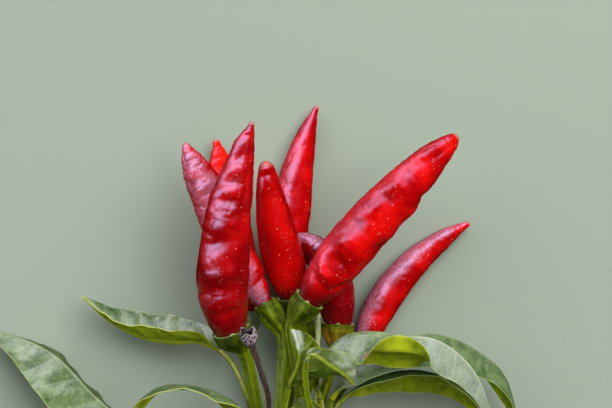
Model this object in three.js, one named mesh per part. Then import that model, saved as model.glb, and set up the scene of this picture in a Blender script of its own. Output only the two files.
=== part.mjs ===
// A fruiting shoot of a chilli pepper plant, cut from the plant and lying on a level surface.
//
// Lengths are millimetres. +X runs across the shoot, +Y along it from the cut end of the stem to the tips
// of the fruits, and +Z up from the surface that it lies on. Places are counted from a point on that
// surface under the gap between the two front fruits, and the finished shoot is moved so that the origin
// lies under the middle of its box.
//
// The stem ends in a knot of short stalks. Each stalk widens into a green cup, the calyx, that holds the
// round base of one fruit, and the leaves spread out below the fruits.
import * as THREE from "three";

const MIDDLE_OF_BOX = [-14.25, -36.7, 0]; // counted from the point under the gap between the front fruits
const CLEARANCE = 0.3; // between pieces that touch on the living plant

const RING_SIDES = 15; // a fruit, a calyx and a stalk have the same sides, three to each calyx tooth
const CALYX_TEETH = 5;
const FRUIT_RINGS = 15;
const STALK_STEPS = 7;
const STEM_SIDES = 12;
const STEM_STEPS = 24;
const LEAF_STEPS = 15;
const THIN_STALK_SIDES = 8;
const THIN_STALK_STEPS = 9;

const SKIN_RED = { color: 0xb3060a, roughness: 0.25 };
const STALK_GREEN = { color: 0x5c7d16, roughness: 0.5 };
const STEM_GREEN = { color: 0x587a1e, roughness: 0.55 };
const LEAF_GREEN = { color: 0x6f9140, roughness: 0.5 };
const DRIED_BROWN = { color: 0x5b4038, roughness: 0.85 };
const BUD_GREEN = { color: 0x8fa52c, roughness: 0.5 };

// The stem's middle line from its flat cut to its blunt top, and its radius at each end. It sets off from
// the cut towards the bend, and comes to the top from there.
const STEM = { cut: [-3.7, -99, 2.9], bend: [-3.7, -77.5, 2.9], top: [-4.9, -58, 16.4] };
const STEM_RADIUS = { cut: 2.9, top: 2.6 };
const STEM_TOP_RISE = 1.3; // how far the blunt top bulges
const NODE_SWELLING = 0.5; // how far the stem stands out where leaves leave it
const NODE_SPACING = 0.22; // as a share of the stem's length

// How far a stalk heads away from the stem and up it as it sets off.
const FRUIT_STALK_SETS_OFF = { outward: 0.42, upward: 0.9 };
const LEAF_STALK_SETS_OFF = { outward: 0.75, upward: 0.65 };

// A fruit's middle line goes through base, middle and tip. radius is its widest, at the share "belly" of
// its length. Towards the base its radius falls with the exponent "shoulder", and towards the tip as (1 -
// t^taper)^point, so a small point gives a blunt tip. Angles go round the fruit from the side that faces
// up, 90 being the +X side of a fruit that points along +Y. folds are creases across it, and dents are
// [share of length, angle, length mm, width in degrees, depth mm]. Its stalk leaves the stem at "angle"
// round it and "along" its length, and widens over "neck" mm into a cup with the outer radius "rim" that
// reaches the share "cup" of the fruit.
const FRUITS = {
  front_left: {
    base: [-17.9, -33.3, 26.5], middle: [-20.2, -13.8, 31], tip: [-13.7, 19.9, 33],
    radius: 6.6, belly: 0.31, shoulder: 0.36, taper: 1.6, point: 0.72, lobes: 0.03, turn: 35,
    folds: { count: 7, depth: 0.3, angle: -45, width: 60 },
    dents: [[0.5, 55, 22, 16, 0.55], [0.3, -70, 6, 30, 0.5], [0.82, -20, 5, 35, 0.35]],
    stalk: { angle: -80, along: 0.8, lean: 6, thick: 1.45, cup: 0.04, rim: 4.3, neck: 3.8 },
  },
  behind_left: {
    base: [-8.7, -28.1, 21], middle: [-20.8, -7, 18.3], tip: [-30.9, 15.6, 17.5],
    radius: 4.9, belly: 0.42, shoulder: 0.75, taper: 2.2, point: 0.55, lobes: 0.05, turn: 10,
    folds: { count: 5, depth: 0.22, angle: -10, width: 70 },
    dents: [[0.8, 0, 8, 30, 0.5], [0.16, 60, 4, 35, 0.6]],
    stalk: { angle: -22, along: 0.9, lean: 2.5, thick: 1.4, cup: 0.06, rim: 3.3, neck: 5 },
  },
  small_back_left: {
    base: [-15.2, -31.5, 8.96], middle: [-18.2, -7.3, 4.01], tip: [-23.7, 16.9, 3.56],
    radius: 4.1, belly: 0.4, shoulder: 0.38, taper: 1.8, point: 0.65, lobes: 0.04, turn: 60,
    folds: { count: 4, depth: 0.15, angle: 30, width: 80 },
    dents: [[0.6, 160, 10, 40, 0.3]],
    stalk: { angle: -125, along: 0.83, lean: 8, thick: 1.1, cup: 0.06, rim: 2.9, neck: 4 },
  },
  middle: {
    base: [-3.2, -25.5, 16], middle: [-7, -8, 19.6], tip: [-10.4, 10.9, 23],
    radius: 5.4, belly: 0.42, shoulder: 0.42, taper: 1.5, point: 0.55, lobes: 0.02, turn: 0,
    folds: { count: 3, depth: 0.1, angle: 0, width: 60 },
    dents: [[0.86, -8, 6, 22, 0.35], [0.2, 40, 6, 40, 0.4]],
    stalk: { angle: 0, along: 1, lean: 6, thick: 1.2, cup: 0.05, rim: 3.3, neck: 4 },
  },
  tall_back: {
    base: [-0.6, -33.3, 9.22], middle: [-4.2, -5.5, 5.22], tip: [2.9, 25.6, 3.42],
    radius: 4.65, belly: 0.5, shoulder: 0.4, taper: 2.4, point: 0.9, lobes: 0.04, turn: 20,
    folds: { count: 4, depth: 0.15, angle: 40, width: 70 },
    dents: [[0.62, 20, 8, 40, 0.3]],
    stalk: { angle: 165, along: 0.88, lean: 8, thick: 1.2, cup: 0.05, rim: 3.1, neck: 4 },
  },
  front_right: {
    base: [-0.7, -26.1, 26.3], middle: [16.4, -4.8, 31], tip: [37.8, 17.2, 31.5],
    radius: 6.35, belly: 0.36, shoulder: 0.5, taper: 1.8, point: 0.5, lobes: 0.03, turn: 50,
    folds: { count: 4, depth: 0.14, angle: -50, width: 50 },
    dents: [[0.17, -8, 4, 24, 1.1], [0.3, -60, 6, 26, 0.6], [0.62, 95, 7, 35, 0.5], [0.88, -5, 9, 16, 0.45]],
    stalk: { angle: 54, along: 0.9, lean: 2, thick: 1.25, cup: 0.045, rim: 3.9, neck: 5 },
  },
  under_front_right: {
    base: [7.9, -33.2, 15.2], middle: [6.2, -17.4, 13.8], tip: [-3.1, -8.2, 12.8],
    radius: 4.9, belly: 0.4, shoulder: 0.36, taper: 2, point: 0.55, lobes: 0.03, turn: 30,
    folds: { count: 3, depth: 0.12, angle: 0, width: 60 },
    dents: [[0.6, 100, 6, 40, 0.4]],
    stalk: { angle: 102, along: 0.9, lean: 6, thick: 1.2, cup: 0.07, rim: 3.6, neck: 3.6 },
  },
  low_right: {
    base: [14.4, -37.2, 8.39], middle: [25.4, -18.6, 4.19], tip: [42.8, -4.9, 2.79],
    radius: 4.35, belly: 0.36, shoulder: 0.38, taper: 1.7, point: 0.65, lobes: 0.04, turn: 15,
    folds: { count: 4, depth: 0.18, angle: -30, width: 70 },
    dents: [[0.2, 0, 5, 30, 0.5], [0.75, -40, 8, 30, 0.3]],
    stalk: { angle: 135, along: 0.8, lean: 6, thick: 1.2, cup: 0.05, rim: 3.3, neck: 4 },
  },
};

const STALK_FOOT = 0.85; // a fruit's stalk at the stem, as a share of its thickness at the cup
const CUP_WALL = 0.55; // the calyx at its rim
const CUP_SEAT = 0.5; // from the fruit's skin to the inside of the cup
const TOOTH_HEIGHT = 0.55;
// The widening from the stalk to the cup: rings at shares of the way, and the share of the widening
// reached there.
const FUNNEL = [[0.3, 0.28], [0.65, 0.55], [1, 0.95]];
const SEAT_RINGS = [1, 0.5, 0.15, 0.02]; // of the inside of the cup, as shares of its depth

// A leaf's stalk leaves the stem at "angle" round it and "along" its length. Its middle line goes on
// through its points, the last being its tip, and the stalk ends at the share "stalk" of that line. half
// is the greatest width of half the blade, at the share "broadest" of its length, and "above" the way in
// which its upper side faces at the midrib. Each half of the blade leaves the midrib at one angle and goes
// on to its margin at another, in degrees above level: right, rightRim, left and leftRim hold them at even
// steps from the blade's foot to its tip. wave is how far its margins go up and down.
const LEAVES = {
  right_front: {
    foot: { angle: 62, along: 0.72 }, stalk: 0.27, half: 10, broadest: 0.44,
    above: [0.15, 1, 0.1], wave: 0.6, waves: 4,
    through: [
      [3.2, -44, 26.2], [4.2, -38.5, 27.5], [8.5, -33.6, 28.2], [14.2, -31.9, 29.2], [26.2, -32.9, 30],
      [32.8, -34, 30], [39.4, -38.6, 29.5], [43.9, -44.9, 28], [47.7, -56.8, 25],
    ],
    right: [-45, -55, -45, -50, -60, -62, -60], rightRim: [-60, -70, 45, 30, -50, -60, -50],
    left: [-60, -65, -65, -60, -40, -35, -40], leftRim: [-60, -75, -75, -70, -50, -50, -40],
  },
  right_back: {
    foot: { angle: 98, along: 0.68 }, stalk: 0.25, half: 9, broadest: 0.44,
    above: [0.25, 1, 0], wave: 0.5, waves: 3,
    through: [
      [6.5, -50, 18.5], [12, -41, 18.8], [20, -35.2, 18.5], [28, -33.2, 17.8], [36, -33.6, 16.5],
      [46.7, -39.5, 13.5], [51.4, -44.5, 11.5], [55.5, -58, 6],
    ],
    right: [-30, -60, -65, -50, -40], rightRim: [-40, -70, -70, -55, -40],
    left: [-20, -40, -45, -40, -40], leftRim: [-30, -50, -55, -50, -40],
  },
  right_low: {
    foot: { angle: 125, along: 0.58 }, stalk: 0.36, half: 7, broadest: 0.44,
    above: [0.1, 1, 0.1], wave: 0.4, waves: 2,
    through: [
      [4.8, -60.5, 10.8], [8, -52, 13.8], [11.3, -48.2, 14.8], [16.5, -45, 14.5], [25, -42.8, 12.5],
      [34, -44, 9.5], [42, -49, 6], [47, -57, 2],
    ],
    right: [0, 5, 0, -20], rightRim: [10, 0, -20, -30],
    left: [-45, -60, -60, -50], leftRim: [-60, -70, -60, -50],
  },
  centre_curled: {
    foot: { angle: -5, along: 0.74 }, stalk: 0.66, half: 6, broadest: 0.5,
    above: [0.4, 0, -1], wave: 0.3, waves: 2,
    through: [
      [-6, -60, 24.5], [-5.6, -52, 28.6], [-4, -45, 31.8], [-2.3, -41, 33.4], [-1.7, -38, 34.2],
      [-2.1, -35.2, 34.5], [-3.3, -31, 34.6],
    ],
    right: [50, 60, 60, 40], rightRim: [70, 80, 80, 50],
    left: [10, 10, 15, 20], leftRim: [30, 50, 50, 30],
  },
  centre_pointed: {
    foot: { angle: 42, along: 0.76 }, stalk: 0.72, half: 4.9, broadest: 0.6,
    above: [0.1, 0.2, 1], wave: 0.3, waves: 2,
    through: [
      [1.4, -61, 25], [1.6, -53.5, 31.6], [0.2, -46.6, 35.2], [-0.2, -41.5, 37.1], [0.4, -38.4, 38.2],
      [1.7, -36.8, 38.6], [3.5, -37.2, 38.7], [5.9, -39.1, 38.6], [8.6, -41.3, 38.3], [10.6, -43.1, 37.9],
      [11.7, -44.7, 37.3],
    ],
    right: [-20, -30, -40, -30], rightRim: [-40, -55, -50, -30],
    left: [-30, -35, -30, -20], leftRim: [-40, -50, -30, -10],
  },
  centre_low: {
    foot: { angle: 20, along: 0.6 }, stalk: 0.55, half: 3.6, broadest: 0.44,
    above: [0.2, 1, 0], wave: 0.3, waves: 2,
    through: [
      [-3.2, -65, 20], [-3, -57, 24.6], [-3, -51.5, 27.5], [-1.8, -48.6, 28.8], [1.5, -49, 28.8],
      [5, -52, 28], [8, -57.5, 26.5],
    ],
    right: [-45, -60, -65, -50], rightRim: [-60, -70, -65, -50],
    left: [10, -20, -30, -30], leftRim: [0, -30, -40, -40],
  },
  left_back: {
    foot: { angle: -110, along: 0.72 }, stalk: 0.47, half: 7.5, broadest: 0.44,
    above: [0, 1, 0], wave: 0.5, waves: 3,
    through: [
      [-14.6, -51, 14], [-20, -39.6, 13.6], [-27, -35.4, 12.6], [-34, -35.4, 12], [-41.5, -34.4, 11],
      [-50, -30.5, 9.5], [-58, -23.8, 7.5],
    ],
    left: [20, 25, 20, 10], leftRim: [30, 35, 20, 0],
    right: [50, 60, 50, 30], rightRim: [65, 65, 45, 20],
  },
  left_front: {
    foot: { angle: -82, along: 0.62 }, stalk: 0.32, half: 7, broadest: 0.44,
    above: [0, 1, 0], wave: 0.4, waves: 3,
    through: [
      [-14.5, -57, 18.5], [-17.6, -51, 22.2], [-21.7, -48, 24.4], [-29.5, -45.7, 25], [-36.5, -46, 24.8],
      [-41.8, -49.5, 23.8], [-46.5, -57, 22],
    ],
    left: [-12, -14, -8, -10, -20], leftRim: [-25, -20, 0, -15, -30],
    right: [-5, -5, -5, -10, -20], rightRim: [-20, -15, -15, -20, -30],
  },
  far_left: {
    foot: { angle: -95, along: 0.4 }, stalk: 0.42, half: 11, broadest: 0.44,
    above: [0, 1, 0], wave: 0.8, waves: 3,
    through: [
      [-15, -75, 10.5], [-29, -67.5, 12.5], [-42, -59, 13.5], [-53.4, -50.3, 13], [-65, -39, 11],
      [-76, -34, 8], [-84, -33, 5],
    ],
    left: [-40, -60, -60, -50], leftRim: [-60, -65, -55, -40],
    right: [0, -5, -5, -10], rightRim: [-10, -15, -15, -15],
  },
};

const LEAF_STALK_RADIUS = 0.75;
const LEAF_STALK_ARC = 0.84; // the share of half the stalk's girth that each face of the blade goes on from
const LEAF_THICKNESS = 0.65;
const BLADE_OPENS = 0.12; // the share of the blade's length over which it opens out of the stalk
const MIDRIB_RISE = 0.3; // how far the midrib stands out of the blade
const BLADE_FULLNESS = 1.8; // a small one gives a full blade, and a large one a slender blade
const SURFACE_ROOM = 0.9; // how near a blade's inside may come to the surface below

// The withered stalk of a fruit that fell, and two young green stalks with a bud on each.
const HEAD_RINGS = [[0.3, 0.9], [0.65, 0.9], [0.92, 0.45]]; // shares of a head's length and of its radius
const DRIED_STALK = {
  foot: { angle: -55, along: 0.86 },
  through: [[-9.4, -49, 28.3], [-11.3, -41.5, 32.4], [-13.2, -35.9, 34.6]],
  radius: 0.62, head: { length: 4.4, radius: 1.9 },
};
const YOUNG_STALKS = {
  young_stalk_right: {
    foot: { angle: 77, along: 0.82 },
    through: [[2.6, -45, 19.6], [3, -36, 20.8], [3, -29.6, 21.2]],
    radius: 0.6, head: { length: 2.4, radius: 0.85 },
  },
  young_stalk_left: {
    foot: { angle: -155, along: 0.72 },
    through: [[-12, -47, 5.4], [-15.8, -39.6, 5.2], [-19.6, -36.4, 5.4]],
    radius: 0.6, head: { length: 3.6, radius: 1.7 },
  },
};

const UP = new THREE.Vector3(0, 0, 1);
const vector = (list) => new THREE.Vector3(...list);
const radians = THREE.MathUtils.degToRad;
const smoothstep = THREE.MathUtils.smoothstep;

// Across-the-line directions at a point of a line that runs along the unit vector "along": "out" is the
// one nearest to the direction "towards", and "side" completes them.
function across(along, towards) {
  const out = towards.clone().addScaledVector(along, -towards.dot(along)).normalize();
  return { out, side: along.clone().cross(out) };
}

// A closed body through rings of points that go the same way round. Its two ends are fans to a point each.
function loft(rings, firstPoint, lastPoint) {
  const sides = rings[0].length;
  const points = [...rings.flat(), firstPoint, lastPoint];
  const [first, last] = [points.length - 2, points.length - 1];
  const index = [];
  for (let side = 0; side < sides; side++) {
    const next = (side + 1) % sides;
    index.push(first, next, side);
    for (let ring = 0; ring + 1 < rings.length; ring++) {
      const [low, high] = [ring * sides, (ring + 1) * sides];
      index.push(low + side, low + next, high + next, low + side, high + next, high + side);
    }
    index.push((rings.length - 1) * sides + side, (rings.length - 1) * sides + next, last);
  }
  const geometry = new THREE.BufferGeometry().setFromPoints(points).setIndex(index);
  geometry.computeVertexNormals();
  return geometry;
}

function centreOf(ring) {
  return ring.reduce((sum, point) => sum.add(point), new THREE.Vector3()).divideScalar(ring.length);
}

// One ring round a line at "centre", with a radius for each angle.
function ringAt(centre, along, sides, radiusAt, shiftAt = () => 0) {
  const { out, side } = across(along, UP);
  return Array.from({ length: sides }, (_, index) => {
    const angle = (index / sides) * 2 * Math.PI;
    const radius = radiusAt(angle);
    return centre.clone()
      .addScaledVector(out, Math.cos(angle) * radius)
      .addScaledVector(side, Math.sin(angle) * radius)
      .addScaledVector(along, shiftAt(angle));
  });
}

function meshOf(name, geometry, look) {
  const mesh = new THREE.Mesh(geometry, new THREE.MeshStandardMaterial({ metalness: 0, ...look }));
  mesh.name = name;
  return mesh;
}

// The curve that passes through a fruit's middle point half-way.
function fruitLine({ base, middle, tip }) {
  const [start, half, end] = [base, middle, tip].map(vector);
  const control = half.multiplyScalar(2).addScaledVector(start, -0.5).addScaledVector(end, -0.5);
  return new THREE.QuadraticBezierCurve3(start, control, end);
}

// A fruit's round radius at a share of its length, with no lobes, folds or dents.
function roundRadius({ radius, belly, shoulder, taper, point }, share) {
  if (share < belly) return radius * (1 - ((belly - share) / belly) ** 2) ** shoulder;
  return radius * Math.max(0, 1 - ((share - belly) / (1 - belly)) ** taper) ** point;
}

// A point CUP_SEAT outside a fruit's skin, as a distance along the fruit from its base and a radius.
function offFruit(fruit, length, share) {
  const step = share * 0.1;
  const slope = (roundRadius(fruit, share + step) - roundRadius(fruit, share - step)) / (2 * step * length);
  const tilt = Math.hypot(slope, 1);
  return {
    along: share * length - (CUP_SEAT * slope) / tilt,
    radius: roundRadius(fruit, share) + CUP_SEAT / tilt,
  };
}

function angleBetween(angle, degrees) {
  const apart = angle - radians(degrees);
  return Math.atan2(Math.sin(apart), Math.cos(apart));
}

// How far the skin stands in or out of the round at a share of the length and an angle.
function skinRelief(fruit, length, share, angle) {
  const { lobes, turn, folds, dents } = fruit;
  const clearOfCup = smoothstep(share, 0.1, 0.24) * (1 - smoothstep(share, 0.93, 1));
  const lobed = lobes * roundRadius(fruit, share) * Math.cos(3 * (angle - radians(turn)));
  const nearFolds = Math.exp(-((angleBetween(angle, folds.angle) / radians(folds.width)) ** 2));
  const folded = folds.depth * nearFolds * Math.sin(2 * Math.PI * folds.count * share);
  const dented = dents.reduce((sum, [place, at, long, wide, depth]) => {
    const away = ((share - place) * length) / long;
    const round = angleBetween(angle, at) / radians(wide);
    return sum - depth * Math.exp(-away * away - round * round);
  }, 0);
  return clearOfCup * (lobed + folded + dented);
}

function fruitGeometry(fruit) {
  const line = fruitLine(fruit);
  const length = line.getLength();
  const rings = [];
  for (let ring = 1; ring < FRUIT_RINGS; ring++) {
    const share = (1 - Math.cos((Math.PI * ring) / FRUIT_RINGS)) / 2; // closer together near both ends
    const radiusAt = (angle) => roundRadius(fruit, share) + skinRelief(fruit, length, share, angle);
    rings.push(ringAt(line.getPointAt(share), line.getTangentAt(share), RING_SIDES, radiusAt));
  }
  return loft(rings, line.getPoint(0), line.getPoint(1));
}

function stemLine() {
  return new THREE.QuadraticBezierCurve3(vector(STEM.cut), vector(STEM.bend), vector(STEM.top));
}

function stemRadius(share) {
  const nearNode = Math.cos((2 * Math.PI * share) / NODE_SPACING) ** 8 * smoothstep(share, 0.05, 0.2);
  return THREE.MathUtils.lerp(STEM_RADIUS.cut, STEM_RADIUS.top, share) + NODE_SWELLING * nearNode;
}

function stemGeometry() {
  const line = stemLine();
  const rings = [];
  for (let step = 0; step <= STEM_STEPS; step++) {
    const share = step / STEM_STEPS;
    rings.push(ringAt(line.getPoint(share), line.getTangent(share), STEM_SIDES, () => stemRadius(share)));
  }
  const top = line.getPoint(1).addScaledVector(line.getTangent(1), STEM_TOP_RISE);
  return loft(rings, centreOf(rings[0]), top);
}

// Where a stalk of some radius starts, clear of the stem, and the way that it sets off. A stalk whose foot
// is at the end of the stem stands on its top.
function footOnStem({ angle, along }, radius, setsOff) {
  const line = stemLine();
  const upStem = line.getTangent(along);
  if (along === 1) {
    return { start: line.getPoint(1).addScaledVector(upStem, STEM_TOP_RISE + CLEARANCE), away: upStem };
  }
  const { out, side } = across(upStem, UP);
  const outward = out.multiplyScalar(Math.cos(radians(angle)));
  outward.addScaledVector(side, Math.sin(radians(angle)));
  const away = outward.clone().multiplyScalar(setsOff.outward).addScaledVector(upStem, setsOff.upward);
  away.normalize();
  const widest = Math.max(stemRadius(along - 0.02), stemRadius(along), stemRadius(along + 0.03));
  const clear = widest + CLEARANCE + radius * STALK_FOOT;
  return { start: line.getPoint(along).addScaledVector(outward, clear), away };
}

// The middle line of a leaf or a thin stalk, from its foot on the stem through its points.
function lineFromStem({ foot, through }, radius, setsOff) {
  const { start, away } = footOnStem(foot, radius, setsOff);
  const points = through.map(vector);
  const firstStep = start.distanceTo(points[0]) * 0.3;
  const setOff = start.clone().addScaledVector(away, firstStep);
  return new THREE.CatmullRomCurve3([start, setOff, ...points], false, "centripetal");
}

// A stalk and the cup at its end, round the base of its fruit.
function stalkGeometry(fruit) {
  const { stalk } = fruit;
  const line = fruitLine(fruit);
  const length = line.getLength();
  const [base, along] = [line.getPoint(0), line.getTangent(0)];
  const { start, away } = footOnStem(stalk, stalk.thick * STALK_FOOT, FRUIT_STALK_SETS_OFF);
  const neck = base.clone().addScaledVector(along, -CUP_SEAT - stalk.neck);
  const reach = start.distanceTo(neck);
  const path = new THREE.CubicBezierCurve3(
    start,
    start.clone().addScaledVector(away, reach * 0.25),
    neck.clone().addScaledVector(along, -stalk.lean),
    neck,
  );
  const rings = [];
  for (let step = 0; step <= STALK_STEPS; step++) {
    const share = step / STALK_STEPS;
    const radius = stalk.thick * THREE.MathUtils.lerp(STALK_FOOT, 1, share);
    rings.push(ringAt(path.getPoint(share), path.getTangent(share), RING_SIDES, () => radius));
  }
  const rimRadius = Math.max(stalk.rim, offFruit(fruit, length, stalk.cup).radius + CUP_WALL);
  for (const [share, widened] of FUNNEL) {
    const centre = neck.clone().addScaledVector(along, (stalk.neck + 2 * CUP_SEAT) * share);
    const radius = THREE.MathUtils.lerp(stalk.thick, rimRadius, widened);
    rings.push(ringAt(centre, along, RING_SIDES, () => radius));
  }
  const seat = (share, angle) => {
    const tooth = TOOTH_HEIGHT * Math.cos(CALYX_TEETH * angle) * share * share;
    return offFruit(fruit, length, stalk.cup * share + tooth / length);
  };
  const ringOfSeat = (share, radiusAt) => {
    const height = offFruit(fruit, length, stalk.cup * share).along;
    const place = Math.max(0, height / length);
    const centre = line.getPointAt(place).addScaledVector(along, Math.min(0, height));
    const shiftAt = (angle) => seat(share, angle).along - height;
    rings.push(ringAt(centre, line.getTangentAt(place), RING_SIDES, radiusAt, shiftAt));
  };
  const innerAt = (share) => (angle) => Math.max(seat(share, angle).radius, (rimRadius - CUP_WALL) * share);
  ringOfSeat(1, (angle) => innerAt(1)(angle) + CUP_WALL);
  for (const share of SEAT_RINGS) ringOfSeat(share, innerAt(share));
  const floor = base.clone().addScaledVector(along, -CUP_SEAT);
  return loft(rings, centreOf(rings[0]), floor);
}

// Keeps a height above the surface: a point that would go lower comes to lie on it.
function restOnSurface(height) {
  const bend = 2 * SURFACE_ROOM;
  return height > bend ? height : SURFACE_ROOM + SURFACE_ROOM * Math.exp((height - bend) / SURFACE_ROOM);
}

// Half the blade's width at a share of the blade's own length.
function bladeHalfWidth({ half, broadest }, share) {
  const outline = (at) => (at ** broadest * (1 - at) ** (1 - broadest)) ** BLADE_FULLNESS;
  return (half * outline(share)) / outline(broadest);
}

// The value at a share of the way through a list of evenly spaced ones.
function between(list, share) {
  const place = share * (list.length - 1);
  const low = Math.min(Math.floor(place), list.length - 2);
  return THREE.MathUtils.lerp(list[low], list[low + 1], place - low);
}

// The leaf's cross-section: five points of the upper face from the left margin over the midrib to the
// right one, each with the way that the upper face looks there.
function bladeSection(leaf, blade, half, side, above) {
  const turned = (sign, degrees) => {
    const [cosine, sine] = [Math.cos(radians(degrees)), Math.sin(radians(degrees))];
    const run = side.clone().multiplyScalar(sign * cosine).addScaledVector(above, sine);
    const face = above.clone().multiplyScalar(cosine).addScaledVector(side, -sign * sine);
    return { run, face };
  };
  const halfBlade = (sign, inner, outer) => {
    const [first, second] = [turned(sign, inner), turned(sign, outer)];
    const middle = first.run.clone().multiplyScalar(half / 2);
    const awayFromEnds = 4 * blade * (1 - blade);
    const wave = leaf.wave * awayFromEnds * Math.sin(2 * Math.PI * (leaf.waves * blade + sign * 0.2));
    const rim = middle.clone().addScaledVector(second.run, half / 2).addScaledVector(second.face, wave);
    return [
      { offset: middle, face: first.face.clone().add(second.face).normalize() },
      { offset: rim, face: second.face },
    ];
  };
  const left = halfBlade(-1, between(leaf.left, blade), between(leaf.leftRim, blade));
  const right = halfBlade(1, between(leaf.right, blade), between(leaf.rightRim, blade));
  const ridge = left[0].face.clone().add(right[0].face).normalize();
  return [left[1], left[0], { offset: new THREE.Vector3(), face: ridge }, right[0], right[1]];
}

function leafGeometry(leaf) {
  const line = lineFromStem(leaf, LEAF_STALK_RADIUS, LEAF_STALK_SETS_OFF);
  const rings = [];
  for (let step = 0; step < LEAF_STEPS; step++) {
    const share = step / LEAF_STEPS;
    const blade = THREE.MathUtils.clamp((share - leaf.stalk) / (1 - leaf.stalk), 0, 1);
    const opened = smoothstep(blade, 0, BLADE_OPENS);
    const half = Math.max(LEAF_STALK_RADIUS, bladeHalfWidth(leaf, blade));
    const centre = line.getPointAt(share);
    const { out, side } = across(line.getTangentAt(share), vector(leaf.above));
    const section = bladeSection(leaf, blade, half, side, out);
    const place = (index, sign) => {
      const { offset, face } = section[index];
      const level = (index - 2) / 2; // from -1 at the left margin to 1 at the right one
      const angle = (level * LEAF_STALK_ARC * Math.PI) / 2;
      const onStalk = side.clone().multiplyScalar(Math.sin(angle) * LEAF_STALK_RADIUS)
        .addScaledVector(out, sign * Math.cos(angle) * LEAF_STALK_RADIUS);
      const midrib = index === 2 && sign < 0 ? MIDRIB_RISE * (1 - blade) : 0;
      const onBlade = offset.clone().addScaledVector(face, sign * (LEAF_THICKNESS / 2 + midrib));
      const point = centre.clone().add(onStalk.lerp(onBlade, opened));
      const fromInside = (sign * LEAF_THICKNESS) / 2;
      point.z = restOnSurface(point.z - fromInside) + fromInside;
      return point;
    };
    const upper = section.map((_, index) => place(index, 1));
    const lower = section.map((_, index) => place(index, -1)).reverse();
    rings.push([...upper, ...lower]);
  }
  return loft(rings, centreOf(rings[0]), line.getPointAt(1));
}

// A thin stalk with a swollen head, for the withered stalk and the young ones.
function thinStalkGeometry(stalk) {
  const { radius, head } = stalk;
  const line = lineFromStem(stalk, radius, FRUIT_STALK_SETS_OFF);
  const rings = [];
  for (let step = 0; step <= THIN_STALK_STEPS; step++) {
    const share = step / THIN_STALK_STEPS;
    rings.push(ringAt(line.getPointAt(share), line.getTangentAt(share), THIN_STALK_SIDES, () => radius));
  }
  const [end, along] = [line.getPointAt(1), line.getTangentAt(1)];
  for (const [share, width] of HEAD_RINGS) {
    const centre = end.clone().addScaledVector(along, head.length * share);
    rings.push(ringAt(centre, along, THIN_STALK_SIDES, () => head.radius * width));
  }
  return loft(rings, centreOf(rings[0]), end.addScaledVector(along, head.length));
}

const shoot = new THREE.Group();
shoot.add(meshOf("stem", stemGeometry(), STEM_GREEN));
for (const [name, fruit] of Object.entries(FRUITS)) {
  shoot.add(meshOf(`fruit_${name}`, fruitGeometry(fruit), SKIN_RED));
  shoot.add(meshOf(`stalk_${name}`, stalkGeometry(fruit), STALK_GREEN));
}
for (const [name, leaf] of Object.entries(LEAVES)) {
  shoot.add(meshOf(`leaf_${name}`, leafGeometry(leaf), LEAF_GREEN));
}
shoot.add(meshOf("dried_stalk", thinStalkGeometry(DRIED_STALK), DRIED_BROWN));
for (const [name, stalk] of Object.entries(YOUNG_STALKS)) {
  shoot.add(meshOf(name, thinStalkGeometry(stalk), BUD_GREEN));
}
shoot.position.copy(vector(MIDDLE_OF_BOX).negate());

const part = new THREE.Group();
part.add(shoot);
export default part;
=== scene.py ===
"""The looks of a fruiting chilli pepper shoot that was cut from its plant and lies on a level floor.

Lengths and places are in millimetres, counted as in the part's source from the point on the floor under the
gap between the two front fruits, and become metres round the part's origin when a piece is made.
"""

import itertools
import math

import bpy
import numpy as np
from mathutils import Matrix


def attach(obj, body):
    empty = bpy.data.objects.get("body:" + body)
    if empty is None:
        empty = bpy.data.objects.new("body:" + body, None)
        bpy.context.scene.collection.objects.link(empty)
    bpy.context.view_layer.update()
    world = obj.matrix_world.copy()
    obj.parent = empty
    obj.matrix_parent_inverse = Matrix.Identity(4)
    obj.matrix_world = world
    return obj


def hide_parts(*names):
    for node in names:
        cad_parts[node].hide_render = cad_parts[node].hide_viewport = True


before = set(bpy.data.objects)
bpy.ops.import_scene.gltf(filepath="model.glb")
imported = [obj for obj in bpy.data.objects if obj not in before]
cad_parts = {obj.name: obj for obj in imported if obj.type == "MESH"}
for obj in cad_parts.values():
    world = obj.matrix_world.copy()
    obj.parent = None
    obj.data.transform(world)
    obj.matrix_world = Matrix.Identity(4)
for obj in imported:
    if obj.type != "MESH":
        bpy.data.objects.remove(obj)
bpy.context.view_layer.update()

MIDDLE_OF_BOX = np.array([-14.25, -36.7, 0.0])
METRE = 1000.0
UP = np.array([0.0, 0.0, 1.0])

# ---- the shoot's sizes, as in the part's source ----

STEM_CUT, STEM_BEND, STEM_TOP = (-3.7, -99, 2.9), (-3.7, -77.5, 2.9), (-4.9, -58, 16.4)
STEM_RADIUS_CUT, STEM_RADIUS_TOP, STEM_TOP_RISE = 2.9, 2.6, 1.3
NODE_SWELLING, NODE_SPACING = 0.5, 0.22
CLEARANCE = 0.3
FRUIT_STALK_SETS_OFF = (0.42, 0.9)
LEAF_STALK_SETS_OFF = (0.75, 0.65)
STALK_FOOT = 0.85
CUP_SEAT, CUP_WALL, CALYX_TEETH = 0.5, 0.55, 5
LEAF_STALK_RADIUS, BLADE_FULLNESS, BLADE_OPENS, SURFACE_ROOM = 0.75, 1.8, 0.12, 0.9

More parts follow.
